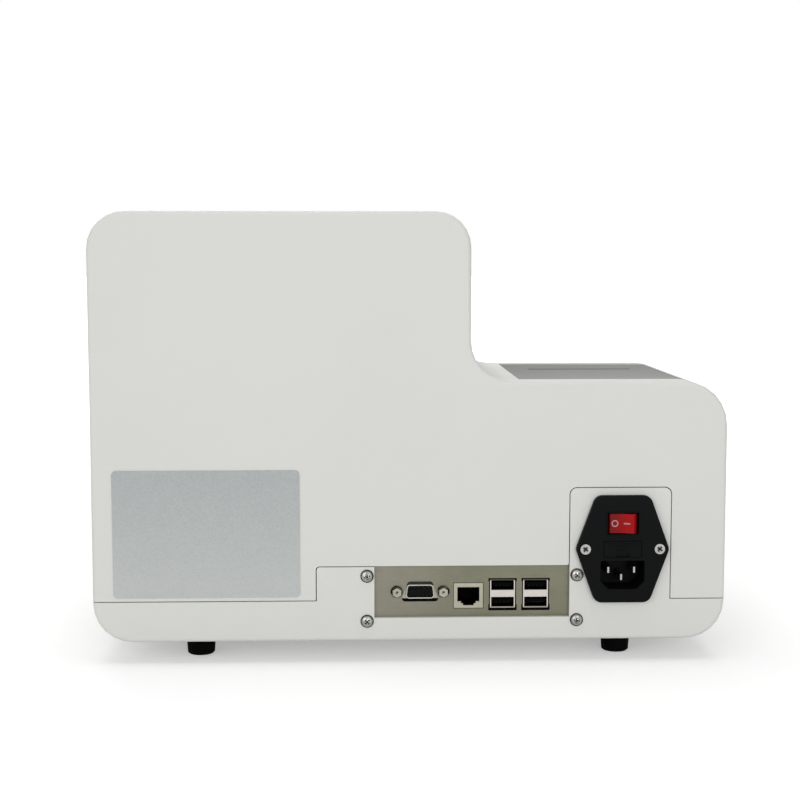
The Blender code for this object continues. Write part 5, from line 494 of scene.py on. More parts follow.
def make_rocker_marks():
    """The ring and the bar moulded into the rocker's two facets."""
    outer, inner, bar_length, bar_height = 1.85 * MM, 1.25 * MM, 3.5 * MM, 0.72 * MM
    shift, rise = 0.6 * MM, 0.12 * MM
    sunk = Matrix.Translation((-shift, 0, -SUNK))
    bm = bmesh.new()
    outline_prism(bm, circle(outer), rocker_facet(1) @ sunk, rise, [circle(inner)])
    outline_prism(bm, slab(bar_length, bar_height, radius=0.2 * MM), rocker_facet(-1) @ sunk, rise)
    piece("rocker_marks", bm, MARK, "rocker")


def make_inlet_details():
    """The rim round the rocker, and the ridge and the ribs on the fuse drawer's face."""
    rim_width, rim_height, rim_rise = 18.0 * MM, 12.8 * MM, 0.35 * MM
    bm = bmesh.new()
    steps = [(0, -SUNK), (0.15 * MM, rim_rise), (0.55 * MM, rim_rise), (0.62 * MM, -SUNK)]
    rim = slab(rim_width, rim_height, radius=0.8 * MM)
    frame_steps(bm, rim, facing_rear(INLET_X, FLANGE_FACE, ROCKER_Z), steps)
    piece("rocker_rim", bm, BLACK, "base")
    ridge_xs, ridge_ys, ridge_rise = (-8.6 * MM, 8.6 * MM), (1.5 * MM, 3.3 * MM), 0.22 * MM
    rib_count, rib_pitch, rib_width, rib_height = 5, 1.6 * MM, 0.6 * MM, 0.27 * MM
    rib_ys = (-1.7 * MM, 0.7 * MM)
    face = facing_rear(INLET_X, FLANGE_FACE, centre_of("fuse_drawer")[1])
    bm = bmesh.new()
    steps = [(0, -SUNK), (0.1 * MM, ridge_rise), (0.3 * MM, ridge_rise), (0.4 * MM, -SUNK)]
    frame_steps(bm, oblong(ridge_xs, ridge_ys, radius=0.4 * MM), face, steps)
    for index in range(rib_count):
        x = (index - (rib_count - 1) / 2) * rib_pitch
        rib = oblong((x - rib_width / 2, x + rib_width / 2), rib_ys, radius=0.25 * MM)
        outline_prism(bm, rib, face @ Matrix.Translation((0, 0, -SUNK)), rib_height)
    piece("fuse_drawer_grip", bm, BLACK, "fuse_holder")


def make_cross_shade(node, turn, span, drop):
    """A dark cross on a screw's head, painted shade of the cross cut into it."""
    width = 0.85 * MM
    x, z = centre_of(node)
    bm = bmesh.new()
    lift = facing_rear(x, depths_of(node)[0] + drop, z)
    for quarter in (0, math.pi / 2):
        arm = slab(span, width, radius=width / 4)
        outline_prism(bm, arm, lift @ Matrix.Rotation(turn + quarter, 4, "Z"), FILM)
    piece(f"{node}_recess", bm, PAINTED_SHADE_METAL, "base")


def make_shade_washer(node):
    """A thin washer under a screw's head, coloured dark so that its rim paints the shade round the head."""
    thick, edge = 0.52 * MM, 0.12 * MM
    x, z = centre_of(node)
    radius = half_sizes(node)[0]
    inner, rim = radius - 0.6 * MM, radius + 0.45 * MM
    profile = [(inner, HAIR), (rim, HAIR), (rim, thick - edge), (rim - edge, thick), (inner, thick)]
    bm = bmesh.new()
    add_lathe(bm, profile + profile[:1], facing_rear(x, 0, z))
    piece(f"{node}_washer", bm, PAINTED_SHADE_METAL, "base")


def make_screw_shades():
    """Painted shade crosses on the heads of the rear screws, and dark washers painting the shade round those
    of the panel.
    """
    for number in range(1, 5):
        name = f"io_screw_{number}"
        make_cross_shade(name, math.radians(-17 * number), 3.2 * MM, 0.12 * MM)
        make_shade_washer(name)
    for name in ("inlet_screw_low", "inlet_screw_high"):
        make_cross_shade(name, math.radians(-30), 3.3 * MM, 0.04 * MM)


def make_usb_fittings():
    """Black liners, tongues and their four contacts in each port."""
    wall, mouth_height, mouth_depth = 0.6 * MM, 5.3 * MM, 12.0 * MM
    liner_clear, liner_start, liner_wall = 0.03 * MM, 0.7 * MM, 0.2 * MM
    tongue_height, tongue_drop, tongue_start = 1.8 * MM, 1.5 * MM, 1.9 * MM
    pitch, contact_width, contact_end = 2.2 * MM, 1.0 * MM, 9.0 * MM
    contact_inset, contact_drops = 0.2 * MM, (0.22 * MM, 0.08 * MM)
    overlap = 0.1 * MM
    deep = overlap - mouth_depth
    top = mouth_height - tongue_drop
    for number in (1, 2):
        name = f"usb_stack_{number}"
        low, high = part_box(name)
        front = depths_of(name)[0]
        middle_x = centre_of(name)[0]
        mouth_half = half_sizes(name)[0] - wall
        dark, contacts = bmesh.new(), bmesh.new()
        for base in (low.z + wall, high.z - wall - mouth_height):
            lift = facing_rear(middle_x, front, base)
            behind = lift @ Matrix.Translation((0, 0, deep))
            half = mouth_half - liner_clear
            rim = oblong((-half, half), (liner_clear, mouth_height - liner_clear), radius=0.3 * MM)
            steps = [(0, deep), (0, -liner_start), (liner_wall, -liner_start), (liner_wall, deep)]
            frame_steps(dark, rim, lift, steps)
            half = mouth_half - overlap
            back = oblong((-half, half), (overlap, mouth_height - overlap), radius=0.3 * MM)
            outline_prism(dark, back, behind, thickness=0.15 * MM)
            half = mouth_half - wall + overlap
            tongue_ys = (top - tongue_height - overlap, top + overlap)
            tongue = oblong((-half, half), tongue_ys, radius=0.2 * MM)
            outline_prism(dark, tongue, behind, mouth_depth - tongue_start)
            depths = (front + tongue_start + contact_inset, front + contact_end)
            under = base + top - tongue_height
            zs = (under - contact_drops[0], under - contact_drops[1])
            for index in range(4):
                x = middle_x + (index - 1.5) * pitch
                xs = (x - contact_width / 2, x + contact_width / 2)
                add_box(contacts, xs, depths, zs)
        piece(f"{name}_liner", dark, BLACK_INNER_AND_SHADE, "base")
        piece(f"{name}_contacts", contacts, CONTACT_IN_SHADE, "base")


def make_network_fittings():
    """The jack's black liner and its eight contact wires."""
    low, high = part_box("network_jack")
    front = depths_of("network_jack")[0]
    middle = centre_of("network_jack")[0]
    top = high.z - 2.2 * MM
    bottom = top - 7.8 * MM
    depth, wall, clear, notch = 15.0 * MM, 0.3 * MM, 0.04 * MM, 1.1 * MM
    back_clear, shortfall = 0.1 * MM, 0.6 * MM
    half, step, latch = 11.9 * MM / 2, 8.0 * MM / 2, 5.8 * MM / 2
    left = [
        (clear - half, top - clear), (clear - half, bottom + clear), (clear - step, bottom + clear),
        (clear - step, bottom - notch + clear), (clear - latch, bottom - notch + clear),
        (clear - latch, bottom - 2 * notch + clear),
    ]
    outline = [(x, z - low.z) for x, z in left + [(-x, z) for x, z in reversed(left)]]
    inner = []
    for index, point in enumerate(outline):
        before = (Vector(point) - Vector(outline[index - 1])).normalized()
        after = (Vector(outline[(index + 1) % len(outline)]) - Vector(point)).normalized()
        inward = Vector((-before.y, before.x)) + Vector((-after.y, after.x))
        inner.append(Vector(point) + inward * wall)
    behind = facing_rear(middle, front, low.z) @ Matrix.Translation((0, 0, back_clear - depth))
    bm = bmesh.new()
    outline_prism(bm, outline, behind, depth - shortfall, [inner])
    outline_prism(bm, inner, behind, thickness=0.2 * MM)
    piece("network_jack_liner", bm, BLACK_INNER_AND_SHADE, "base")
    wire_radius, pitch = 0.17 * MM, 1.02 * MM
    bends = in_mm([(2.6, 0.6), (8.5, 3.4), (12.5, 4.2)])
    bm = bmesh.new()
    for index in range(8):
        x = middle + (index - 3.5) * pitch
        points = [at(x, front + inside, top - drop) for inside, drop in bends]
        for start, end in zip(points, points[1:]):
            add_rod(bm, wire_radius, start, end, sides=8)
    piece("network_jack_contacts", bm, CONTACT_IN_SHADE, "base")


def make_video_fittings():
    """Contact sockets in the video connector's insert, and the thread in its jack screws."""
    outer, inner, length, inside = 0.47 * MM, 0.30 * MM, 2.5 * MM, 1.6 * MM
    column_pitch, row_pitch = 2.3 * MM, 2.0 * MM
    x, z = centre_of("video_shell")
    depth = depths_of("video_insert")[0] + inside
    tube = [(outer, -length), (outer, 0), (inner, 0), (inner, -length), (outer, -length)]
    bm = bmesh.new()
    for row in range(3):
        for column in range(5):
            lift = facing_rear(x + (column - 2) * column_pitch, depth, z + (row - 1) * row_pitch)
            add_lathe(bm, tube, lift, sides=12)
    piece("video_contacts", bm, CONTACT_IN_SHADE, "base")
    bore, crest, flank, pitch = 1.0 * MM, 0.82 * MM, 0.11 * MM, 0.45 * MM
    bm = bmesh.new()
    for name in ("video_jack_low", "video_jack_high"):
        jack_x, jack_z = centre_of(name)
        lift = facing_rear(jack_x, depths_of(name)[0], jack_z)
        for turn in range(5):
            drop = -pitch * (turn + 1)
            profile = [(bore, drop), (crest, drop - flank), (bore, drop - 2 * flank), (bore, drop)]
            add_lathe(bm, profile, lift, sides=20)
    piece("video_jack_threads", bm, NICKEL, "base")


def make_shadow_gap(name, outline, hole, matrix):
    """A black film on the plate that paints the shade of the gap between the panel's cut-out and what sits in
    it.
    """
    bm = bmesh.new()
    outline_prism(bm, outline, matrix, FILM, [hole])
    piece(name, bm, BLACK_INNER_AND_SHADE, "base")


def make_shadow_gaps():
    """Painted shade films round the connectors, with the notched corners of the stacks' cut-outs."""
    side, ear, ear_height, over, below = 0.45 * MM, 0.95 * MM, 1.7 * MM, 0.6 * MM, 1.5 * MM
    depth = depths_of("io_plate")[0] + HAIR
    for name in ("usb_stack_1", "usb_stack_2"):
        half, tall = half_sizes(name)
        x, z = centre_of(name)
        top, bottom = tall + over, -tall - below
        upper, lower = top - ear_height, bottom + 2 * ear_height
        corners = [
            (-half - side, upper), (-half - ear, upper), (-half - ear, top), (half + ear, top),
            (half + ear, upper), (half + side, upper), (half + side, lower), (half + ear, lower),
            (half + ear, bottom), (-half - ear, bottom), (-half - ear, lower), (-half - side, lower),
        ]
        make_shadow_gap(f"{name}_gap", corners, rectangle(half, tall), facing_rear(x, depth, z))
    line = 0.3 * MM
    half, tall = half_sizes("network_jack")
    x, z = centre_of("network_jack")
    outline = rectangle(half + line, tall + line)
    make_shadow_gap("network_jack_gap_shade", outline, rectangle(half, tall), facing_rear(x, depth, z))


def make_video_surround():
    """Painted shade strips on the video connector's flange, the shell's bright rim, and painted shade rings
    round the ears.
    """
    x, z = centre_of("video_shell")
    flange_gap, ring_outer, ring_inner = 0.24 * MM, 3.1 * MM, 2.6 * MM
    flange = facing_rear(x, depths_of("io_plate")[1] + flange_gap, z)
    strips = (
        ("upper", [(-7.9, 3.0), (7.9, 3.0), (7.0, 5.7), (-7.0, 5.7)], PAINTED_SHADE_METAL),
        ("lower", [(-10.8, -5.7), (10.8, -5.7), (10.2, -3.95), (-10.2, -3.95)], BLACK_INNER_AND_SHADE),
    )
    for side, outline, finish in strips:
        bm = bmesh.new()
        outline_prism(bm, in_mm(outline), flange, FILM)
        piece(f"video_flange_{side}_shade", bm, finish, "base")
    bm = bmesh.new()
    rim = rounded(in_mm([(-7.9, -3.8), (7.9, -3.8), (7.1, 3.8), (-7.1, 3.8)]), radius=1.8 * MM)
    rim_rise = 0.10 * MM
    steps = [(0, -HAIR), (0.12 * MM, rim_rise), (0.40 * MM, rim_rise), (0.55 * MM, -HAIR)]
    frame_steps(bm, rim, facing_rear(x, depths_of("video_shell")[0], z), steps)
    piece("video_shell_rim", bm, NICKEL, "base")
    bm = bmesh.new()
    for name in ("video_jack_low", "video_jack_high"):
        ear_x, ear_z = centre_of(name)
        lift = facing_rear(ear_x, depths_of("io_plate")[0] + HAIR, ear_z)
        outline_prism(bm, circle(ring_outer), lift, FILM, [circle(ring_inner)])
    piece("video_ear_shade_rings", bm, BLACK_INNER_AND_SHADE, "base")


def make_rear_details():
    """All the small pieces of the rear panel."""
    make_rocker_marks()
    make_inlet_details()
    make_screw_shades()
    make_usb_fittings()
    make_network_fittings()
    make_video_fittings()
    make_shadow_gaps()
    make_video_surround()


# The front and the inside


def banded(name, value_of, bands):
    """A finish that changes along a value: bands of upper limit, colour, metallic share and roughness."""
    made, tree, shader = new_material(name)
    vector = object_coordinates(tree)
    value = value_of(tree)
    colour = bands[0][1]
    shares = []
    for before, band in zip(bands, bands[1:]):
        test = {0: value, 1: before[0]}
        shares.append(add(tree, "ShaderNodeMath", test, operation="GREATER_THAN").outputs[0])
        colour = mixed(tree, shares[-1], colour, band[1])
    cloud = between(tree, noise(tree, vector, BAND_CLOUD_SCALE, detail=3.0), *NOISE_RANGE, 0.9, 1.1)
    scaled = add(tree, "ShaderNodeVectorMath", {0: colour}, operation="SCALE")
    tree.links.new(cloud, scaled.inputs["Scale"])
    tree.links.new(scaled.outputs[0], shader.inputs["Base Color"])
    for slot, column in (("Metallic", 2), ("Roughness", 3)):
        numbers = [band[column] for band in bands]
        if len(set(numbers)) == 1:
            shader.inputs[slot].default_value = numbers[0]
            continue
        blended = numbers[0]
        for share, number in zip(shares, numbers[1:]):
            blended = blend_values(tree, share, blended, number)
        tree.links.new(blended, shader.inputs[slot])
    fine = noise(tree, vector, BAND_GRAIN_SCALE, detail=1.0)
    grain = add(tree, "ShaderNodeBump", {"Height": fine, "Distance": BAND_GRAIN_DEPTH, "Strength": 0.5})
    tree.links.new(grain.outputs["Normal"], shader.inputs["Normal"])
    shader.inputs["Specular IOR Level"].default_value = 0.3
    return made


def blend_values(tree, share, first, second):
    """One number or another, by a share."""
    node = add(tree, "ShaderNodeMix", data_type="FLOAT")
    tree.links.new(share, node.inputs[0])
    for slot, value in ((2, first), (3, second)):
        if isinstance(value, bpy.types.NodeSocket):
            tree.links.new(value, node.inputs[slot])
        else:
            node.inputs[slot].default_value = value
    return node.outputs[0]


def along(axis):
    """The place along an axis."""
    def value_of(tree):
        place = add(tree, "ShaderNodeTexCoord").outputs["Object"]
        return add(tree, "ShaderNodeSeparateXYZ", {0: place}).outputs[axis]
    return value_of


def from_axis(centre):
    """The distance from a line that runs across, through a centre."""
    def value_of(tree):
        place = add(tree, "ShaderNodeTexCoord").outputs["Object"]
        level = add(tree, "ShaderNodeVectorMath", {0: place, 1: (0, 1, 1)}, operation="MULTIPLY")
        ends = {0: level.outputs[0], 1: (0, centre.y, centre.z)}
        return add(tree, "ShaderNodeVectorMath", ends, operation="DISTANCE").outputs["Value"]
    return value_of


def refinish(node, name, value_of, *bands):
    """Gives one node a banded finish of its own."""
    nodes[node].data.materials.clear()
    nodes[node].data.materials.append(banded(name, value_of, bands))


def middle_of(node):
    """The middle of a node's box."""
    low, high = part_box(node)
    return (low + high) / 2


# The last limit of a row of bands, past the end of every solid
FAR = 1.0
STEEL_BAND = ((0.50, 0.51, 0.52), 1.0, 0.3)
DARK_STEEL_BAND = ((0.10, 0.10, 0.105), 0.9, 0.45)
BLACK_BAND = ((0.008, 0.008, 0.009), 0.0, 0.6)
ACETAL_BAND = ((0.72, 0.72, 0.67), 0.0, 0.45)
TUBE_BAND = ((0.55, 0.60, 0.60), 0.0, 0.08)
PART_BAND = ((0.02, 0.02, 0.023), 0.0, 0.5)
CERAMIC_BAND = ((0.66, 0.65, 0.60), 0.0, 0.25)


def finish_inner_nodes():
    """Finishes of the parts that are made of more than one material, and the painted shade on the USB shells.
    """
    low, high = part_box("platen_roller")
    sleeve_start, sleeve_end, gear_start = low.x + 14.05 * MM, low.x + 72.15 * MM, high.x - 3.52 * MM
    refinish("platen_roller", "platen_rubber_on_shaft", along("X"), (sleeve_start, *STEEL_BAND),
             (sleeve_end, *BLACK_BAND), (gear_start, *STEEL_BAND), (FAR, *ACETAL_BAND))
    cap = 4.5 * MM
    low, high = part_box("fuse")
    refinish("fuse", "fuse_with_caps", along("X"), (low.x + cap, *STEEL_BAND),
             (high.x - cap, *TUBE_BAND), (FAR, *STEEL_BAND))
    edge = 0.62 * MM
    for name in ("usb_stack_1", "usb_stack_2"):
        low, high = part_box(name)
        # Painted shade: each shell is darker along its bottom edge and near black along its top edge.
        refinish(name, f"{name}_shell", along("Z"), (low.z + edge, (0.26, 0.25, 0.21), 1.0, 0.36),
                 (high.z - edge, (0.44, 0.42, 0.385), 1.0, 0.34), (FAR, (0.06, 0.057, 0.045), 1.0, 0.4))
    board_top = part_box("main_board")[0].z + 1.63 * MM
    refinish("main_board", "main_board_with_parts", along("Z"),
             (board_top, (0.02, 0.13, 0.055), 0.0, 0.4), (FAR, (0.018, 0.018, 0.02), 0.0, 0.5))
    supply_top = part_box("power_supply")[0].z + 1.63 * MM
    low_parts, middle_parts = supply_top + 17 * MM, supply_top + 24 * MM
    refinish("power_supply", "power_supply_with_parts", along("Z"),
             (supply_top, (0.20, 0.13, 0.05), 0.0, 0.5), (low_parts, *PART_BAND),
             (middle_parts, (0.36, 0.24, 0.03), 0.0, 0.45), (FAR, *PART_BAND))
    motor_cap = 3 * MM
    refinish("printer_motor", "printer_motor_can", along("X"),
             (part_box("printer_motor")[1].x - motor_cap, *STEEL_BAND), (FAR, *BLACK_BAND))
    for name, cap, case_share in (("transport_motor", 6 * MM, 0.2), ("read_head_motor", 3.5 * MM, 0.0)):
        low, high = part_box(name)
        case = low.y + (high.y - low.y) * case_share
        refinish(name, f"{name}_case", along("Y"), (case + cap, *STEEL_BAND),
                 (high.y - cap, *DARK_STEEL_BAND), (FAR, *STEEL_BAND))
    line, line_half, plate_drop = middle_of("platen_roller").z, 0.3 * MM, 6 * MM
    holder_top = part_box("thermal_head")[0].z + 4 * MM
    refinish("thermal_head", "thermal_head_ceramic", along("Z"),
             (holder_top, *BLACK_BAND), (line - plate_drop, (0.5, 0.51, 0.51), 1.0, 0.4),
             (line - line_half, *CERAMIC_BAND),
             (line + line_half, (0.12, 0.07, 0.04), 0.0, 0.2), (FAR, *CERAMIC_BAND))
    core_radius, wound_radius = 8.5 * MM, 23.0 * MM
    refinish("paper_roll", "paper_on_card_core", from_axis(middle_of("paper_roll")),
             (core_radius, (0.30, 0.20, 0.11), 0.0, 0.8), (wound_radius, (0.70, 0.70, 0.67), 0.0, 0.8),
             (FAR, (0.80, 0.80, 0.78), 0.0, 0.7))


def make_screen_area():
    """The display's picture area and the border round it, as thin layers on the glass."""
    area_width, area_height, clear = 154 * MM, 85 * MM, 0.1 * MM
    border_width, border_height, border_rise, area_rise = 166 * MM, 96 * MM, 0.06 * MM, 0.03 * MM
    faces = sorted(nodes["touch_glass"].data.polygons, key=lambda face: -face.area)[:4]
    front = [face for face in faces if face.normal.y < 0]
    out = front[0].normal.normalized()
    middle = sum((face.center for face in front), Vector((0, 0, 0))) / len(front)
    across = Vector((1, 0, 0))
    up = out.cross(across)
    matrix = Matrix.Translation(middle) @ Matrix((across, up, out)).transposed().to_4x4()
    border, area = bmesh.new(), bmesh.new()
    inner = slab(area_width, area_height, radius=0.6 * MM)
    outer = slab(border_width, border_height, radius=1.5 * MM)
    outline_prism(border, outer, matrix, border_rise, [inner])
    piece("screen_border", border, BLACK, "base")
    filled = slab(area_width - 2 * clear, area_height - 2 * clear, radius=0.6 * MM)
    outline_prism(area, filled, matrix, area_rise)
    piece("screen_area", area, SCREEN, "base")


def make_screw_thread():
    """The thread of the screw that moves the read head."""
    low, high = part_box("lead_screw")
    radius = half_sizes("lead_screw")[0]
    x, z = centre_of("lead_screw")
    pitch, crest, root, sunk = 5.0 * MM, 0.16 * MM, 0.9 * MM, 0.05 * MM
    front_gap, rear_gap, sides = 3 * MM, 5 * MM, 14
    start, end = low.y + front_gap, high.y - rear_gap
    bm = bmesh.new()
    rings = []
    for index in range(int((end - start) / pitch * sides)):
        angle = 2 * math.pi * index / sides
        y = start + pitch * index / sides
        ring = []
        for shift, reach in ((-root / 2, -sunk), (0, crest), (root / 2, -sunk)):
            away = radius + reach
            ring.append(bm.verts.new((x + away * math.cos(angle), y + shift, z + away * math.sin(angle))))
        rings.append(ring)
    join_rings(bm, rings)
    bm.faces.new(rings[0])
    bm.faces.new(rings[-1])
    piece("lead_screw_thread", bm, STEEL, "screw")


def make_belt_teeth():
    """Teeth on the inner side of the transport belt's two straight runs."""
    wall, height, pitch, length, sunk = 1.0 * MM, 0.5 * MM, 2.5 * MM, 1.2 * MM, 0.05 * MM
    end_gap, side_gap = 3 * MM, 0.3 * MM
    low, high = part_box("drive_belt")
    start, end = middle_of("motor_pulley").x + end_gap, middle_of("idler_pulley").x - end_gap
    depths = (REAR_Y - high.y + side_gap, REAR_Y - low.y - side_gap)
    bm = bmesh.new()
    for index in range(int((end - start) / pitch)):
        xs = (start + pitch * index, start + pitch * index + length)
        add_box(bm, xs, depths, (low.z + wall - sunk, low.z + wall + height))
        add_box(bm, xs, depths, (high.z - wall - height, high.z - wall + sunk))
    piece("drive_belt_teeth", bm, RUBBER, "base")


def arc_points(centre, radius, degrees):
    """Points of Y and height round an axis, at each of some angles up from the front."""
    angles = [math.radians(one) for one in degrees]
    return [(centre.y - radius * math.cos(a), centre.z + radius * math.sin(a)) for a in angles]


def make_paper_web():
    """The strip of paper from the roll, round the platen and up to just below the lid's slit."""
    sleeve, lift, thick, side_gap, end_gap = 6.0 * MM, 0.12 * MM, 0.08 * MM, 0.5 * MM, 0.6 * MM
    roll, platen = middle_of("paper_roll"), middle_of("platen_roller")
    low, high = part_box("paper_roll")
    half = (high.x - low.x) / 2 - side_gap
    path = arc_points(roll, (high.z - low.z) / 2 + lift, [-62 + 3 * step for step in range(5)])
    path += arc_points(platen, sleeve + lift, [-70 + 70 * step / 8 for step in range(9)])
    path.append((platen.y - sleeve - lift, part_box("printer_lid")[0].z - end_gap))
    bm = bmesh.new()
    rings = []
    for index, (y, z) in enumerate(path):
        before = Vector(path[max(index - 1, 0)])
        after = Vector(path[min(index + 1, len(path) - 1)])
        run = (after - before).normalized()
        side = Vector((-run.y, run.x)) * thick / 2
        ring = []
        for sign, x in ((1, -1), (1, 1), (-1, 1), (-1, -1)):
            ring.append(bm.verts.new((roll.x + x * half, y + sign * side.x, z + sign * side.y)))
        rings.append(ring)
    join_rings(bm, rings)
    bm.faces.new(rings[0])
    bm.faces.new(rings[-1])
    piece("paper_web", bm, PAPER, "base")


def make_chips(chips, legs, top):
    """Chips on the main board, each with a row of eight legs along every side."""
    leg_width, leg_length, leg_height, leg_count = 0.36 * MM, 1.2 * MM, 0.45 * MM, 8
    bottom, height, leg_offset = 0.15 * MM, 1.4 * MM, 0.5 * MM
    across, out = leg_width / 2, leg_length / 2
    places = ((30 * MM, 62 * MM, 9 * MM), (44 * MM, 40 * MM, 7 * MM), (-62 * MM, 66 * MM, 8 * MM))
    for x, depth, size in places:
        half = size / 2
        add_box(chips, (x - half, x + half), (depth - half, depth + half), (top + bottom, top + height))
        for index in range(leg_count):
            shift = (index - (leg_count - 1) / 2) * size / (leg_count + 1)
            for sign in (-1, 1):
                edge = sign * (half + leg_offset)
                zs = (top, top + leg_height)
                add_box(legs, (x + shift - across, x + shift + across),
                        (depth + edge - out, depth + edge + out), zs)
                add_box(legs, (x + edge - out, x + edge + out),
                        (depth + shift - across, depth + shift + across), zs)


def make_board_parts():
    """Small parts on the main board: chips with their legs, capacitors, and rows of resistors."""
    can_radius, can_height, can_start, can_pitch, can_depth = 2.5 * MM, 5.8 * MM, 12 * MM, 8 * MM, 76 * MM
    row_start, row_pitch, row_depth, row_step = -70 * MM, 3.1 * MM, 80 * MM, 2.6 * MM
    small_length, small_width, small_height, sunk = 1.6 * MM, 0.8 * MM, 0.5 * MM, 0.05 * MM
    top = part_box("main_board")[0].z + 1.6 * MM
    near = depths_of("main_board")[0]
    chips, legs, cans, small = bmesh.new(), bmesh.new(), bmesh.new(), bmesh.new()
    make_chips(chips, legs, top)
    for index in range(5):
        x = can_start + index * can_pitch
        depth = near + can_depth
        add_rod(cans, can_radius, at(x, depth, top - sunk), at(x, depth, top + can_height), sides=20)
    for row in range(3):
        for column in range(14):
            x, depth = row_start + column * row_pitch, near + row_depth + row * row_step
            xs = (x - small_length / 2, x + small_length / 2)
            depths = (depth - small_width / 2, depth + small_width / 2)
            add_box(small, xs, depths, (top, top + small_height))
    piece("board_chips", chips, BLACK, "base", bevel=0.15 * MM)
    piece("board_chip_legs", legs, NICKEL, "base")
    piece("board_capacitors", cans, STEEL, "base", bevel=0.3 * MM)
    piece("board_resistors", small, GREY, "base")


def make_head_lens():
    """The rim and the lens under the read head."""
    middle, low = middle_of("read_head"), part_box("read_head")[0]
    down = Matrix.Translation((middle.x, middle.y, low.z)) @ Matrix.Rotation(math.pi, 4, "X")
    rim, lens = bmesh.new(), bmesh.new()
    add_lathe(rim, in_mm([(3.4, -0.05), (3.4, 0.2), (2.6, 0.2), (2.6, -0.05), (3.4, -0.05)]), down)
    add_lathe(lens, in_mm([(0, -0.04), (2.55, -0.04), (2.55, 0.05), (1.4, 0.15), (0, 0.18)]), down)
    piece("read_head_lens_rim", rim, BLACK, "optics")
    piece("read_head_lens", lens, GLASS, "optics")


def make_inner_details():
    """All the small pieces of the front and the inside."""
    finish_inner_nodes()
    make_screen_area()
    make_screw_thread()
    make_belt_teeth()
    make_paper_web()
    make_board_parts()
    make_head_lens()


# Shading of the solids

WELD_DISTANCE = 0.001 * MM
SHARP_ANGLE = 32.0
FLAT_FACE_WEIGHT = 80


def shading_group():
    """Nodes that shade a solid's curved faces smooth and keep its corners sharp."""
    group = bpy.data.node_groups.new("curves_shaded_smooth", "GeometryNodeTree")
    group.interface.new_socket("Geometry", in_out="INPUT", socket_type="NodeSocketGeometry")
    group.interface.new_socket("Geometry", in_out="OUTPUT", socket_type="NodeSocketGeometry")
    came = group.nodes.new("NodeGroupInput").outputs[0]
    welded = add(group, "GeometryNodeMergeByDistance", {"Geometry": came, "Distance": WELD_DISTANCE})
    bare = add(group, "GeometryNodeRemoveAttribute", {"Geometry": welded.outputs[0], "Name": "custom_normal"})
    faces = add(group, "GeometryNodeSetShadeSmooth", {0: bare.outputs[0]}, domain="FACE")
    faces.inputs["Shade Smooth"].default_value = True
    angle = add(group, "GeometryNodeInputMeshEdgeAngle").outputs["Unsigned Angle"]
    test = {0: angle, 1: math.radians(SHARP_ANGLE)}
    corner = add(group, "FunctionNodeCompare", test, data_type="FLOAT", operation="GREATER_THAN")
    chosen = {0: faces.outputs[0], 1: corner.outputs[0]}
    edges = add(group, "GeometryNodeSetShadeSmooth", chosen, domain="EDGE")
    edges.inputs["Shade Smooth"].default_value = False
    group.links.new(edges.outputs[0], group.nodes.new("NodeGroupOutput").inputs[0])
    return group


def smooth_nodes():
    """Smooth curves on every solid, with the flat faces kept flat."""
    group = shading_group()
    for node in nodes.values():
        node.modifiers.new("smooth_curves", "NODES").node_group = group
        weighted = node.modifiers.new("flat_faces", "WEIGHTED_NORMAL")
        weighted.keep_sharp = True
        weighted.weight = FLAT_FACE_WEIGHT


# Stage

LENS = 66.51
CAMERA_X = 0.030
CAMERA_REACH = 0.780
CAMERA_Z = 0.2185
YAW = 1.783
PITCH = 5.565
FLOOR_SIZE = 30.0
# The floor's own glow where it is looked at, by the distance from the part's middle
GLOW_REACH = (0.3, 1.1)
GLOW_STRENGTH = (0.34, 1.0)
WORLD_LIGHT = 0.40
LAMP_TARGET = (0, 0, 0.1)
# Name, place, side and power of each lamp
LAMPS = (
    ("key", (1.1, 1.8, 0.75), 1.2, 9.5),
    ("rear", (-0.5, 2.2, 0.45), 0.9, 13),
    ("top", (0.0, 0.1, 1.9), 1.4, 12),
    ("front", (0.4, -1.6, 1.2), 1.5, 11),
)


def shown_white(tree, plain, seen_as):
    """A strength that is one value for light and another where camera, gloss or glass look at it."""
    path = add(tree, "ShaderNodeLightPath")
    seen = path.outputs["Is Camera Ray"]
    for ray in ("Is Glossy Ray", "Is Transmission Ray"):
        seen = add(tree, "ShaderNodeMath", {0: seen, 1: path.outputs[ray]}, operation="MAXIMUM").outputs[0]
    return between(tree, seen, 0.0, 1.0, plain, seen_as)


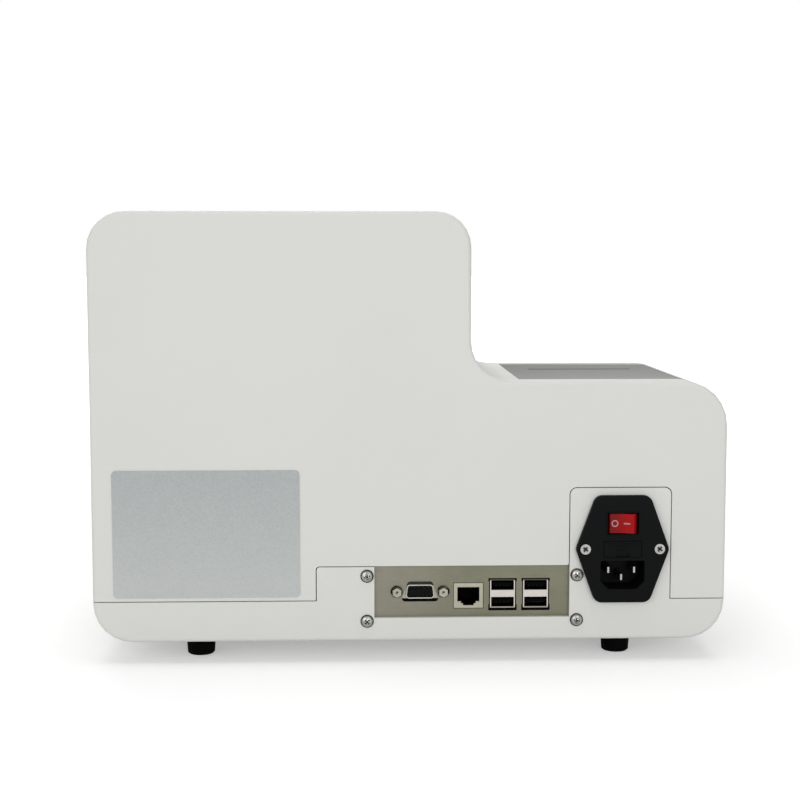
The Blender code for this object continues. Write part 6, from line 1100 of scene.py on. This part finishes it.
def make_floor():
    """A white floor that keeps the shadow and fades into the white behind it."""
    bm = bmesh.new()
    bmesh.ops.create_grid(bm, x_segments=1, y_segments=1, size=FLOOR_SIZE / 2)
    mesh = bpy.data.meshes.new("floor")
    bm.to_mesh(mesh)
    bm.free()
    floor = bpy.data.objects.new("floor", mesh)
    bpy.context.scene.collection.objects.link(floor)
    made, tree, shader = new_material("floor_white")
    shader.inputs["Base Color"].default_value = (0.80, 0.80, 0.80, 1)
    shader.inputs["Roughness"].default_value = 0.9
    shader.inputs["Specular IOR Level"].default_value = 0.0
    shader.inputs["Emission Color"].default_value = (1, 1, 1, 1)
    place = add(tree, "ShaderNodeTexCoord").outputs["Object"]
    reach = add(tree, "ShaderNodeVectorMath", {0: place}, operation="LENGTH").outputs["Value"]
    glow = between(tree, reach, *GLOW_REACH, *GLOW_STRENGTH)
    tree.links.new(shown_white(tree, 0.0, glow), shader.inputs["Emission Strength"])
    mesh.materials.append(made)


def make_world():
    """White surroundings that light the scene less than they show."""
    world = bpy.data.worlds.new("studio")
    world.use_nodes = True
    bpy.context.scene.world = world
    background = world.node_tree.nodes["Background"]
    background.inputs["Color"].default_value = (1, 1, 1, 1)
    strength = shown_white(world.node_tree, WORLD_LIGHT, 1.0)
    world.node_tree.links.new(strength, background.inputs["Strength"])


def make_lamp(name, place, size, power):
    """A square lamp that is aimed at the part."""
    data = bpy.data.lights.new(name, "AREA")
    data.size = size
    data.energy = power
    made = bpy.data.objects.new(name, data)
    bpy.context.scene.collection.objects.link(made)
    made.location = place
    aim = Vector(LAMP_TARGET) - Vector(place)
    made.rotation_euler = aim.to_track_quat("-Z", "Y").to_euler()


def make_camera():
    """The camera, at the photo's place behind the part."""
    data = bpy.data.cameras.new("camera")
    data.sensor_width = 36
    data.lens = LENS
    camera = bpy.data.objects.new("camera", data)
    bpy.context.scene.collection.objects.link(camera)
    yaw, pitch = math.radians(YAW), math.radians(PITCH)
    camera.location = (CAMERA_X, REAR_Y + CAMERA_REACH, CAMERA_Z)
    forward = Vector((-math.sin(yaw) * math.cos(pitch), -math.cos(yaw) * math.cos(pitch), -math.sin(pitch)))
    camera.rotation_euler = forward.to_track_quat("-Z", "Y").to_euler()
    bpy.context.scene.camera = camera


def make_stage():
    """The floor, the studio's light and the camera."""
    make_floor()
    make_world()
    for lamp in LAMPS:
        make_lamp(*lamp)
    make_camera()
    bpy.context.scene.view_settings.view_transform = "Standard"


make_stage()
dress_nodes()
make_rear_details()
make_inner_details()
smooth_nodes()
